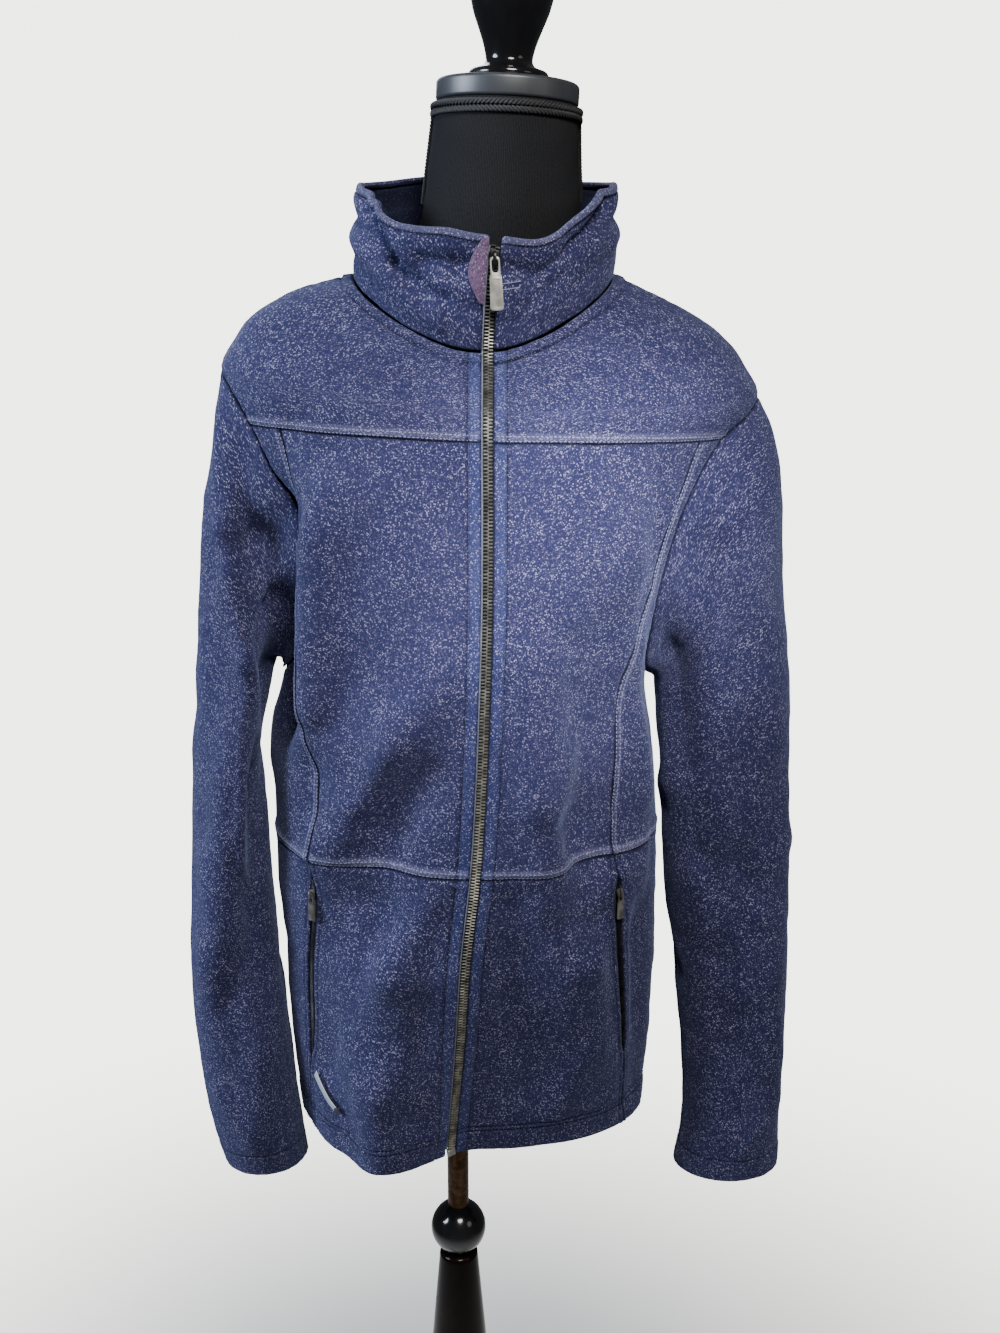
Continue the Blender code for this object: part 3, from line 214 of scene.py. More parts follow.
# %% Sizes of the body
STAND_AXIS = Vector((-0.030, -0.060, 0.0))   # the stand's axis, so that the part's box is centred on the origin
AXIS = np.array(STAND_AXIS)
WALL = 0.0024                                # sweater-knit fleece
HEM_WALL = 0.0040                            # the same cloth turned up and stitched
COLLAR_WALL = 0.0050                         # outer and inner collar together
SEAM_GAP = 0.0003
HEM_LEVEL = 0.727
POCKET_SEAM = 0.971
NECK_LEVEL = 1.391
ZIP_CHAIN = 0.0064
ZIP_OPENING = 0.0072
CHAIN_FOOT = 0.7335                          # the level where the chain starts
TAPE_WALL = 0.0008
TAPE_GAP = 0.0007
POCKET_ZIP_TOP = 0.950
POCKET_ZIP_FOOT = 0.806
POCKET_OPENING = 0.0056
POCKET_FADE = 0.009                          # the height in which the opening closes to a seam, past each end
ARMHOLE_LEVEL = 1.207                        # middle of the armhole
ARMHOLE_HALF_HEIGHT = 0.109
ARMHOLE_HALF_ANGLE = radians(22)
FIT_GAP = 0.0006                             # between the form's shoulders and the cloth that rests on them


def table(names, numbers):
    """Named columns from the numbers of a table's rows."""
    names = names.split()
    return dict(zip(names, np.array(numbers.split(), float).reshape(-1, len(names)).T))



def fold_table(numbers):
    """Folds. Levels are in metres, a fold's width and its lift in millimetres, and a trough's lift is negative."""
    folds = table("angle level end_angle end_level width lift", numbers)
    return folds | {"width": folds["width"] * MM, "lift": folds["lift"] * MM}


# Horizontal sections of the body, from the hem to the neck seam. A section's front dips and its back
# rises where it nears the neck; tilt lowers the wearer's left.
TORSO = table("level centre half front back square dip rise tilt", """
    0.727 0.0105 0.144 0.084 0.107 2.25 0 0 0   0.8 0.01 0.1495 0.096 0.108 2.2 0 0 0
    0.88 0.009 0.152 0.11 0.107 2.15 0 0 0   0.971 0.0095 0.1505 0.118 0.104 2.15 0 0 0
    1.05 0.008 0.146 0.121 0.1 2.15 0 0 0   1.098 0.008 0.139 0.121 0.099 2.15 0 0 0
    1.15 0.013 0.145 0.119 0.1 2.15 0 0 0   1.207 0.019 0.157 0.116 0.101 2.15 0 0 0.01
    1.25 0.0235 0.169 0.112 0.1 2.15 0 0 0.02   1.284 0.0265 0.182 0.107 0.098 2.15 0.002 0 0.03
    1.305 0.0285 0.1935 0.102 0.095 2.15 0.008 0 0.05   1.321 0.029 0.196 0.097 0.091 2.1 0.016 0 0.05
    1.337 0.0285 0.1865 0.091 0.086 2.1 0.025 0.002 0.05   1.351 0.0285 0.176 0.086 0.081 2.05 0.033 0.004 0.05
    1.364 0.028 0.16 0.082 0.077 2.05 0.04 0.007 0.045   1.377 0.027 0.135 0.077 0.073 2 0.046 0.01 0.04
    1.385 0.026 0.112 0.074 0.07 2 0.049 0.012 0.025   1.391 0.024 0.0935 0.072 0.068 2 0.051 0.014 0
""")
TORSO["height"] = TORSO["level"]

# The collar, from the neck seam (0) to its rim (1).
COLLAR = table("level height centre half front back square dip rise tilt", """
    0 1.3914 0.024 0.0935 0.072 0.068 2 0.051 0.014 0   0.16 1.4005 0.0243 0.0945 0.0765 0.07 2 0.049 0.013 0
    0.45 1.418 0.025 0.095 0.0815 0.0725 2.05 0.044 0.012 0
    0.75 1.437 0.0258 0.0935 0.083 0.0735 2.05 0.04 0.011 0
    0.93 1.45 0.0262 0.0918 0.0825 0.0735 2.05 0.0385 0.009 0
    1 1.455 0.0265 0.0915 0.0825 0.0735 2.05 0.038 0.008 0
""")

# The neck of the form, from where the shoulders end (0) to the cap (1).
FORM_NECK = table("level height centre half front back square dip rise tilt", """
    0 1.44 0.0375 0.056 0.056 0.055 2 0.004 0.002 0   0.4 1.465 0.0385 0.0535 0.0535 0.053 2 0 0 0.02
    1 1.506 0.041 0.05 0.05 0.05 2 0 0 0.046
""")

print("body sections:", len(TORSO["level"]), "collar sections:", len(COLLAR["level"]))

# %% [markdown]
# ## Seams and folds
# A soft garment is read by its folds. Each is a ridge or a trough between two points of the unrolled surface, with a
# width and a lift. Giving them one by one, uneven in length, depth and spacing, keeps the drape under control.

# %% Seam lines and folds of the body and the collar
# The zip's centre line and the two princess seams, which carry the pocket zips.
SEAM_LINES = table("level zip_x princess_right princess_left", """
    0.727 -0.0025 68 70   0.779 0.002 65 67   0.827 0.006 62 63.5   0.907 0.0115 57 57.5   0.971 0.0185 54 56
    1.05 0.0235 52 57   1.098 0.0255 52.5 58.5   1.16 0.0275 54.5 61   1.207 0.028 57 62.5   1.284 0.028 64 66
    1.391 0.028 66 66
""")
COLLAR_ZIP = table("level zip_x", """
    0 0.028   0.35 0.0293   0.7 0.0315   1 0.034
""")

# The body's largest folds: a ridge or a trough (negative lift) runs from one end to the other and fades
# out past both. Angles are degrees from the centre front, towards the wearer's left.
BODY_FOLDS = fold_table("""
    -49 1.24 -53 1.07 24 13   -73 1.225 -70 1.08 21 -21   -6 1.12 -46 0.96 30 5   -30 1.02 -36 0.935 38 -15
    -18 0.88 -29 0.7 40 18   -30 0.79 -34 0.69 36 26   -52 0.77 -56 0.69 30 13   41 1 42 0.93 23 -13
    -88 0.87 -94 0.7 50 -6   34 1.15 24 0.985 26 5   47 1.08 50 0.97 18 -5   30 0.94 40 0.79 28 7
    72 0.9 76 0.76 18 -6   112 0.86 122 0.7 30 15   150 0.93 146 0.7 28 -9   186 1 182 0.7 34 10
    214 0.93 220 0.7 28 -9   244 0.88 246 0.7 30 9   140 1.24 172 1.08 26 5   222 1.24 190 1.08 26 5
    180 1.15 160 1.01 26 -5   -86 1.062 -89 1.03 20 4.5   -86 0.84 -88 0.7 22 1.7
""")
COLLAR_FOLDS = fold_table("""
    -72 0.92 -30 0.4 7.5 -5.5   -60 1 -20 0.72 7 2   70 0.9 34 0.5 7.5 -5   96 0.48 140 0.42 8 -3.5
    190 0.55 245 0.45 8 -4   -10 0.66 -34 0.62 6 -2.5
""")

print("folds of the body:", len(BODY_FOLDS["lift"]))

# %% [markdown]
# ## Sleeves, form and stand
# A sleeve is a tube of oval rings, each with its own centre, half width, half depth, turn and tilt.
# The form's body follows the cloth at a distance and touches it only at the shoulders.

# %% Sizes of the sleeves, the form and the stand
SLEEVE_RINGS = "height centre depth_centre half half_depth turn tilt"
LEFT_SLEEVE = table(SLEEVE_RINGS, """
    1.128 0.204 -0.002 0.0475 0.058 -8 0.8   1.06 0.2095 -0.004 0.051 0.052 -6 0.34
    0.985 0.214 -0.006 0.0505 0.047 -4 0.1   0.915 0.218 -0.01 0.049 0.042 0 0.02
    0.84 0.224 -0.012 0.045 0.039 4 0   0.77 0.2275 -0.014 0.041 0.037 6 0   0.71 0.2283 -0.015 0.0408 0.0355 4 0
    0.673 0.226 -0.016 0.0435 0.033 2 0
""")
RIGHT_SLEEVE = table(SLEEVE_RINGS, """
    1.128 0.164 -0.002 0.029 0.065 -12 0.8   1.06 0.175 -0.006 0.0265 0.064 -14 0.34
    0.985 0.177 -0.01 0.0295 0.059 -14 0.1   0.915 0.1775 -0.016 0.0325 0.051 -12 0
    0.84 0.175 -0.022 0.037 0.043 -8 0   0.77 0.1705 -0.024 0.037 0.039 -4 0   0.72 0.165 -0.024 0.036 0.0365 0 0
    0.684 0.159 -0.022 0.034 0.034 0 0
""")
LEFT_SLEEVE_FOLDS = fold_table("""
    8 1.2 22 1.06 14 -6   318 1.12 330 0.96 13 -6   60 1.02 20 0.93 16 -4   130 1.06 170 0.96 16 -4
    210 1.14 240 1 14 -6   20 0.86 50 0.74 16 3   200 0.86 170 0.75 16 -4
""")
RIGHT_SLEEVE_FOLDS = fold_table("""
    -10 1.23 -14 0.96 10 5   -44 1.18 -50 0.96 18 -8   30 1.1 50 0.98 16 -3   140 1.08 170 0.96 16 -4
    210 1.14 235 1 14 -6   40 0.88 10 0.78 16 3   200 0.86 170 0.75 16 -4
""")
CAP_DROP_LOW = radians(35)                                 # how steeply a sleeve leaves the armhole's foot
CAP_DROP_TOP = {1: radians(56), -1: radians(78)}      # and its top, on the left (1) and the right (-1)

# How far the form lies inside the cloth's outer surface.
FORM_INSET = table("level inset", """
    0.78 0.024   0.84 0.02   0.9 0.022   0.971 0.032   1.05 0.034   1.11 0.031   1.18 0.029   1.25 0.025
    1.3 0.015   1.322 0.006   1.338 0.003   1.391 0.003
""")
PULL_AXIS = -3.75           # in the slider's own millimetres, outwards from its foot
MAIN_SLIDER_LEVEL = 0.80
MAIN_SLIDER_ROLL = radians(-4)
MAIN_SLIDER_LIFT = 0.0007    # clear of the chain that carries it
POCKET_SLIDER_LEVEL = 0.944
POCKET_SLIDER_LIFT = 0.0006
POCKET_SLIDER_SCALE = 0.66 * MM
CAP_RADIUS = 0.0502
CAP_HEIGHT = 0.0145
POLE_RADIUS = 0.0090
BALL_RADIUS = 0.0235
BALL_HALF_HEIGHT = 0.0222
COLUMN_TOP = 0.5735
COLUMN = table("height radius", """
    0.5735 0.016   0.566 0.0168   0.53 0.0198   0.485 0.0237   0.44 0.0272   0.395 0.03   0.35 0.0312
    0.305 0.0294   0.27 0.025   0.245 0.0205   0.232 0.02   0.227 0.024   0.22 0.0262   0.213 0.024   0.209 0.0215
    0.205 0.03   0.108 0.03   0.104 0.024   0.096 0.0225   0.086 0.019   0.078 0.011   0.075 0.004
""")
LEG_HEADINGS = (("back", 90), ("front_right", 210), ("front_left", 330))
LEG_THICKNESS = 0.022
FOOT_START = 0.218
LEG = table("reach top under", """
    0.0303 0.198 0.116   0.06 0.192 0.126   0.1 0.168 0.114   0.14 0.124 0.082   0.18 0.074 0.038
    0.21 0.044 0.008   0.23 0.031 0   0.25 0.019 0
""")
FORM_FRONT_INSET = 0.008    # what is added at the front and the back, so that only the shoulders carry
ROUND_BODY = 0.135          # metres per radian of the unrolled body; the collar's also per share of its height
ROUND_COLLAR = (0.085, 0.065)
ROUND_SLEEVE = 0.046


print("rings of a sleeve:", len(LEFT_SLEEVE["height"]))

# %% [markdown]
# ## One surface for the whole garment
# Each function gives points of the body, the collar or a sleeve from two numbers, such as an angle and a level. All
# pieces, stitches and zips are laid on these, so neighbours meet.

# %% The surfaces of the garment
def held(value):
    """The value, or the nearer of 0 and 1 where it is outside them."""
    return np.clip(value, 0, 1)


def cubic(s, start, end, leave, arrive):
    """The cubic from start to end with these slopes at its ends, at a share s of its length."""
    rest = 1 - s
    return ((1 + 2 * s) * rest**2 * start + s * rest**2 * leave + s**2 * (3 - 2 * s) * end - s**2 * rest * arrive)


def column(rows, name, at, over="level"):
    """A table's column as a smooth curve, each row's slope taken from its neighbours."""
    knots, values = rows[over], rows[name]
    slopes = np.gradient(values, knots)
    at = np.clip(at, knots[0], knots[-1])
    i = np.clip(np.searchsorted(knots, at, side="right") - 1, 0, len(knots) - 2)
    step = knots[i + 1] - knots[i]
    return cubic((at - knots[i]) / step, values[i], values[i + 1], step * slopes[i], step * slopes[i + 1])


def unit(vectors):
    return vectors / np.linalg.norm(vectors, axis=-1, keepdims=True)


def grids(first, second):
    return np.broadcast_arrays(np.asarray(first, float), np.asarray(second, float))


def section(stack, angle, level):
    """A point of a stack of rounded sections, at an angle from the centre front."""
    row = {name: column(stack, name, level) for name in stack}
    sine, cosine = np.sin(angle), np.cos(angle)
    depth = np.where(cosine > 0, row["front"], row["back"])
    power = row["square"]
    radius = (np.abs(cosine / depth) ** power + np.abs(sine / row["half"]) ** power) ** (-1 / power)
    x = radius * sine
    z = row["height"] - row["dip"] * held(cosine) ** 1.3
    z = z + row["rise"] * held(-cosine) ** 1.3 - row["tilt"] * x
    return np.stack([row["centre"] + x, -radius * cosine, z], axis=-1)


def fold_lift(folds, angle, level, round_size, level_size=1.0):
    """How far the folds lift the cloth. Each is a round-ended ridge or trough on the unrolled surface."""
    total = np.zeros(np.broadcast(angle, level).shape)
    for start, foot, end, top, width, lift in zip(*folds.values()):
        start, end = radians(start), radians(end)
        turn = end - start
        across = (angle - start - turn / 2 + pi) % (2 * pi) - pi + turn / 2
        run = np.array([turn * round_size, (top - foot) * level_size])
        spot = np.stack(np.broadcast_arrays(across * round_size, (level - foot) * level_size), axis=-1)
        along = held(spot @ run / (run @ run))[..., None]
        total += lift * np.exp(-((np.linalg.norm(spot - along * run, axis=-1) / width) ** 2))
    return total


def outward(angle):
    return np.stack([np.sin(angle), -np.cos(angle), np.zeros_like(angle)], axis=-1)


def torso(angle, level):
    """The body's outer surface."""
    angle, level = grids(angle, level)
    return section(TORSO, angle, level) + fold_lift(BODY_FOLDS, angle, level, ROUND_BODY)[..., None] * outward(angle)


def collar(angle, level):
    """The collar's outer surface. Its folds fade out at the neck seam."""
    angle, level = grids(angle, level)
    lift = held(level / 0.2) * fold_lift(COLLAR_FOLDS, angle, level, *ROUND_COLLAR)
    return section(COLLAR, angle, level) + lift[..., None] * outward(angle)


def facing(surface, u, v, step_u=2e-4, step_v=2e-4):
    """The outward unit normal of a surface."""
    along_u = surface(u + step_u, v) - surface(u - step_u, v)
    along_v = surface(u, v + step_v) - surface(u, v - step_v)
    return unit(np.cross(along_u, along_v))


def angle_at(surface, level, x):
    """The angle, near the centre front, at which a surface crosses a given x."""
    angle = np.zeros_like(level)
    for _ in range(12):
        here = surface(angle, level)[..., 0]
        slope = (surface(angle + 1e-3, level)[..., 0] - here) / 1e-3
        angle = angle + (x - here) / slope
    return angle


def zip_angle(level, surface=torso, line=SEAM_LINES):
    level = np.asarray(level, float)
    return angle_at(surface, level, column(line, "zip_x", level))


def collar_zip_angle(level):
    return zip_angle(level, collar, COLLAR_ZIP)


def shifted(surface, angle, level, metres):
    """The angle that lies this far round the surface from the given one."""
    step = 1e-3
    pace = np.linalg.norm(surface(angle + step, level) - surface(angle - step, level), axis=-1) / (2 * step)
    return angle + metres / pace


def princess_angle(side, level):
    """A princess seam. side is 1 for the wearer's left and -1 for the right, here and below."""
    name = "princess_left" if side > 0 else "princess_right"
    return side * np.radians(column(SEAM_LINES, name, np.asarray(level, float)))


def armhole_width(level):
    """Half the armhole's angle at a level, 0 below and above it."""
    height = np.clip((np.asarray(level, float) - ARMHOLE_LEVEL) / ARMHOLE_HALF_HEIGHT, -1, 1)
    return ARMHOLE_HALF_ANGLE * np.sqrt(held(1 - height**2))


def armhole(side, around):
    """The armhole's edge as an angle and a level. around is 0 at its front and a quarter turn at its top."""
    return (side * (pi / 2 - ARMHOLE_HALF_ANGLE * np.cos(around)), ARMHOLE_LEVEL + ARMHOLE_HALF_HEIGHT
        * np.sin(around))


def pocket_half_gap(level):
    """Half the space between centre front and side panel: a seam's, or the pocket zip's."""
    level = np.asarray(level, float)
    foot_share = held((level - POCKET_ZIP_FOOT) / POCKET_FADE + 1)
    top_share = held((POCKET_ZIP_TOP - level) / POCKET_FADE + 1)
    return SEAM_GAP / 2 + (POCKET_OPENING - SEAM_GAP) / 2 * foot_share * top_share


def ring_of(rings, side, around, height):
    """A point of the sleeve's tube. around is 0 at its front and a quarter turn at its outer side."""
    rising = {name: values[::-1] for name, values in rings.items()}
    row = {name: column(rising, name, height, "height") for name in rings}
    turn = np.radians(row["turn"])
    across, depth = row["half"] * np.sin(around), -row["half_depth"] * np.cos(around)
    x = across * np.cos(turn) - depth * np.sin(turn)
    y = across * np.sin(turn) + depth * np.cos(turn)
    return np.stack([side * (row["centre"] + x), row["depth_centre"] + y, row["height"] + row["tilt"] * x], axis=-1)


CAP_END = 0.3       # the share of a sleeve's rows that runs from the armhole to the tube


def sleeve_surface(side):
    """The sleeve's outer surface by angle around and share along: a cap from the armhole, then a tube."""
    rings, folds = (LEFT_SLEEVE, LEFT_SLEEVE_FOLDS) if side > 0 else (RIGHT_SLEEVE, RIGHT_SLEEVE_FOLDS)
    top, foot = rings["height"][0], rings["height"][-1]

    def surface(around, share):
        around, share = grids(around, share)
        start = torso(*armhole(side, around))
        end = ring_of(rings, side, around, np.full(around.shape, top))
        below = ring_of(rings, side, around, np.full(around.shape, top - 0.002))
        drop = CAP_DROP_LOW + (CAP_DROP_TOP[side] - CAP_DROP_LOW) * held(np.sin(around)) ** 2
        leave = np.stack([side * np.cos(drop), 0 * drop, -np.sin(drop)], axis=-1)
        reach = np.linalg.norm(end - start, axis=-1, keepdims=True)
        cap = cubic(held(share / CAP_END)[..., None], start, end, reach * leave, reach * unit(below - end))
        height = top + (foot - top) * held((share - CAP_END) / (1 - CAP_END))
        point = np.where(share[..., None] < CAP_END, cap, ring_of(rings, side, around, height))
        fade = held(share / 0.12) * held((1.0 - share) / 0.06)
        lift = fade * fold_lift(folds, around, point[..., 2], ROUND_SLEEVE)
        return point + lift[..., None] * np.stack([side * np.sin(around), -np.cos(around), 0 * around], axis=-1)

    return surface


print("zip at the hem:", round(float(zip_angle(np.array([HEM_LEVEL]))[0]), 3), "radians from the front")

# %% [markdown]
# ## Finishes
# Such a fleece is knitted from two or three blues, and its face shows pale flecks a little over a millimetre wide, in
# loose clusters. Random Voronoi cells, stretched along the knit and bent by a noise, give them. What several finishes
# share is a group, which puts out only colours and heights. The fleece's group also reads a mesh attribute that makes
# stitched bands paler and darkens seam grooves and stitch rows with painted shade.

# %% Heathered fleece as a group
heather, given, put = shader_group("heathered_fleece", [("Place", "Vector", None), ("Dark", "Color",
    tinted(0.010, 0.0108, 0.042)), ("Middle", "Color", tinted(0.029, 0.0300, 0.088)),
    ("Pale", "Color", tinted(0.31, 0.300, 0.43)), ("Flecks", "Float", 0.5), ("Seam", "Float", 0.0)],
    [("Color", "Color"), ("Height", "Float")])
calc, make = partial(math_node, heather), partial(node, heather)
bend = make("TexNoise", {"Vector": given["Place"], "Scale": 520.0, "Detail": 1.0})
bent = make("VectorMath", {0: bend.outputs["Color"], 1: (0.0007, 0.0007, 0.0), 2: given["Place"]},
    operation="MULTIPLY_ADD").outputs[0]
stretch = {0: bent, 1: (1000.0, 850.0, 1.0)}
loops = make("VectorMath", stretch, operation="MULTIPLY").outputs[0]
cells = make("TexVoronoi", {"Vector": loops, "Scale": 1.0}, voronoi_dimensions="2D")
fine_cells = make("TexVoronoi", {"Vector": loops, "Scale": 1.75}, voronoi_dimensions="2D")
chance = make("SeparateColor", {"Color": cells.outputs["Color"]}).outputs
fine_chance = make("SeparateColor", {"Color": fine_cells.outputs["Color"]}).outputs
cluster = make("TexNoise", {"Vector": given["Place"], "Scale": 48.0, "Detail": 2.0}).outputs["Fac"]
yarn = make("TexNoise", {"Vector": given["Place"], "Scale": 9.0, "Detail": 3.0}).outputs["Fac"]
floor_value = calc("MULTIPLY_ADD", cluster, -0.40, 1.15)
floor_value = calc("SUBTRACT", floor_value, calc("MULTIPLY", given["Flecks"], 0.42))
fleck = soft_step(heather, chance["Red"], floor_value, calc("ADD", floor_value, 0.22))
dot_size = calc("MULTIPLY_ADD", chance["Blue"], 0.25, 0.38)
dot = soft_step(heather, cells.outputs["Distance"], dot_size, calc("MULTIPLY", dot_size, 0.45))
fine_fleck = soft_step(heather, fine_chance["Red"], 0.78, 1.0)
pale_share = calc("MAXIMUM", calc("MULTIPLY", fleck, dot), calc("MULTIPLY", fine_fleck, 0.28))
seam_pale = calc("MULTIPLY", calc("MAXIMUM", given["Seam"], 0.0), 0.42)
pale_share = calc("ADD", pale_share, seam_pale)
middle_share = calc("MULTIPLY_ADD", fine_chance["Green"], 0.6, calc("SUBTRACT", yarn, 0.32))
ground = mixed(heather, make("Clamp", {"Value": middle_share}).outputs[0], given["Dark"], given["Middle"])
colour = mixed(heather, make("Clamp", {"Value": pale_share}).outputs[0], ground, given["Pale"])
# Painted shade: where the seam value is below 0, the colour is pulled towards near-black, as shade in a seam's groove
# and stitch rows; above 0 the band is paler.
groove_shade = calc("MULTIPLY", calc("MINIMUM", given["Seam"], 0.0), -0.88)
heather.links.new(mixed(heather, groove_shade, colour, tinted(0.002, 0.002, 0.006)), put["Color"])
heather.links.new(calc("MULTIPLY_ADD", fine_chance["Red"], 0.6, calc("MULTIPLY", pale_share, 0.5)), put["Height"])
print("nodes in the fleece group:", len(heather.nodes))

# %% Knit, wood and rubbed metal as groups
knit, given, put = shader_group("fine_knit", [("Place", "Vector", None), ("Ribs", "Float", 900.0),
    ("Low", "Color", None), ("High", "Color", None)], [("Color", "Color"), ("Height", "Float")])
scaled = node(knit, "VectorMath", {0: given["Place"], "Scale": given["Ribs"]}, operation="SCALE").outputs[0]
ribs = node(knit, "TexWave", {"Vector": scaled, "Scale": 0.32, "Distortion": 1.2, "Detail": 1.0}).outputs["Fac"]
specks = node(knit, "TexNoise", {"Vector": scaled, "Scale": 0.9, "Detail": 2.0}).outputs["Fac"]
tuft = math_node(knit, "MULTIPLY", ribs, specks)
knit.links.new(mixed(knit, soft_step(knit, tuft, 0.12, 0.62), given["Low"], given["High"]), put["Color"])
knit.links.new(tuft, put["Height"])

grain, given, put = shader_group("turned_wood", [("Place", "Vector", None), ("Dark", "Color", None),
    ("Light", "Color", None), ("Wear", "Float", 0.5)], [("Color", "Color"), ("Height", "Float"), ("Dull", "Float")])
long_place = node(grain, "VectorMath", {0: given["Place"], 1: (150.0, 150.0, 9.0)}, operation="MULTIPLY").outputs[0]
fibres = node(grain, "TexNoise", {"Vector": long_place, "Scale": 1.0, "Detail": 5.0}).outputs["Fac"]
patches = node(grain, "TexNoise", {"Vector": given["Place"], "Scale": 26.0, "Detail": 4.0}).outputs["Fac"]
rubs = soft_step(grain, patches, 0.52, 0.72)
share = math_node(grain, "MULTIPLY_ADD", rubs, given["Wear"], math_node(grain, "MULTIPLY", fibres, 0.45))
grain.links.new(mixed(grain, node(grain, "Clamp", {"Value": share}).outputs[0], given["Dark"], given["Light"]),
    put["Color"])
grain.links.new(fibres, put["Height"])
grain.links.new(math_node(grain, "MULTIPLY_ADD", rubs, 0.25, math_node(grain, "MULTIPLY", fibres, 0.12)), put["Dull"])

rubbed, given, put = shader_group("rubbed_metal", [("Place", "Vector", None), ("Base", "Color", None),
    ("Bright", "Color", None), ("Strokes", "Float", 900.0)], [("Color", "Color"), ("Dull", "Float"),
    ("Height", "Float")])
across = node(rubbed, "VectorMath", {0: given["Place"], 1: (1.0, 1.0, 0.06)}, operation="MULTIPLY").outputs[0]
strokes = node(rubbed, "TexNoise", {"Vector": across, "Scale": given["Strokes"], "Detail": 3.0}).outputs["Fac"]
tarnish = node(rubbed, "TexNoise", {"Vector": given["Place"], "Scale": 160.0, "Detail": 3.0}).outputs["Fac"]
rubbed.links.new(mixed(rubbed, soft_step(rubbed, tarnish, 0.3, 0.7), given["Base"], given["Bright"]), put["Color"])
rubbed.links.new(math_node(rubbed, "MULTIPLY_ADD", strokes, 0.30, 0.18), put["Dull"])
rubbed.links.new(strokes, put["Height"])
print("shader groups:", len(bpy.data.node_groups))

# %% Finishes
def finish(name, group, values, height, bump, roughness=None, on_cloth=False, **plain):
    """A material whose colour and relief come from a group. plain values go on the shader itself."""
    made = bpy.data.materials.new(name)
    made.use_nodes = True
    tree = made.node_tree
    shader = tree.nodes["Principled BSDF"]
    if on_cloth:
        place = node(tree, "UVMap", uv_map="cloth").outputs["UV"]
    else:
        place = node(tree, "TexCoord").outputs["Object"]
    effect = tree.nodes.new("ShaderNodeGroup")
    effect.node_tree = group
    tree.links.new(place, effect.inputs["Place"])
    # The mesh's seam attribute gives the pale stitched bands and the painted shade in seam grooves.
    if group == heather:
        tree.links.new(node(tree, "Attribute", attribute_name="seam").outputs["Fac"], effect.inputs["Seam"])
    for word, value in values.items():
        effect.inputs[word].default_value = plain_value(value)
    tree.links.new(effect.outputs["Color"], shader.inputs["Base Color"])
    relief = node(tree, "Bump", {"Height": effect.outputs["Height"], "Distance": height, "Strength": bump})
    tree.links.new(relief.outputs["Normal"], shader.inputs["Normal"])
    if roughness is None:
        tree.links.new(effect.outputs["Dull"], shader.inputs["Roughness"])
    else:
        shader.inputs["Roughness"].default_value = roughness
    for word, value in plain.items():
        shader.inputs[word.replace("_", " ")].default_value = plain_value(value)
    return made


NAP = {"Sheen_Weight": 0.18, "Sheen_Roughness": 0.45, "Sheen_Tint": (0.50, 0.58, 1.0), "Specular_IOR_Level": 0.12}
FLEECE = finish("navy_heather_fleece", heather, {}, 0.0006, 0.55, 0.95, True, **NAP)


def cloth_colours(dark, middle, pale, **more):
    return {"Dark": dark, "Middle": middle, "Pale": pale, **more}


FACING = finish("zip_facing_fleece", heather, cloth_colours((0.013, 0.016, 0.062), (0.036, 0.042, 0.125),
    (0.30, 0.305, 0.45), Flecks=0.44), 0.0004, 0.45, 0.92, True, **NAP)
LINING = finish("brushed_inside", heather, cloth_colours((0.006, 0.007, 0.018), (0.014, 0.016, 0.034),
    (0.035, 0.04, 0.075)), 0.0006, 0.6, 0.97, True, Specular_IOR_Level=0.1)
PLUSH = finish("mauve_plush", heather, cloth_colours((0.060, 0.032, 0.072), (0.17, 0.105, 0.18), (0.38, 0.28, 0.38),
    Flecks=0.4), 0.0009, 0.9, 0.97, True, **NAP)


def knitted(name, ribs, low, high, height, bump, roughness, on_cloth=False, **plain):
    return finish(name, knit, {"Ribs": ribs, "Low": low, "High": high}, height, bump, roughness, on_cloth, **plain)


JERSEY = knitted("black_jersey", 900.0, (0.010, 0.010, 0.011), (0.021, 0.022, 0.024), 0.0002, 0.3, 0.95, True,
    Specular_IOR_Level=0.08)
BRAID = knitted("black_braid", 2600.0, (0.003, 0.003, 0.004), (0.040, 0.039, 0.042), 0.0003, 0.8, 0.6)
TAPE = knitted("zip_tape_weave", 2400.0, (0.050, 0.055, 0.075), (0.26, 0.28, 0.34), 0.0002, 0.6, 0.8)
DARK_TAPE = knitted("dark_tape_weave", 2400.0, (0.006, 0.006, 0.012), (0.022, 0.024, 0.040), 0.0002, 0.6, 0.85)
LABEL = knitted("label_weave", 3400.0, (0.30, 0.33, 0.37), (0.52, 0.56, 0.60), 0.0002, 0.5, 0.5)
LABEL_END = knitted("label_end_weave", 3400.0, (0.010, 0.010, 0.012), (0.07, 0.06, 0.05), 0.0002, 0.5, 0.6)
PALE_THREAD = knitted("lavender_thread", 3000.0, (0.16, 0.17, 0.30), (0.42, 0.44, 0.62), 0.0001, 0.5, 0.6)
NAVY_THREAD = knitted("navy_thread", 3000.0, (0.012, 0.014, 0.045), (0.035, 0.042, 0.11), 0.0001, 0.5, 0.6)


def wooden(name, dark, light, wear, height, bump, roughness=None, **plain):
    return finish(name, grain, {"Dark": dark, "Light": light, "Wear": wear}, height, bump, roughness, **plain)


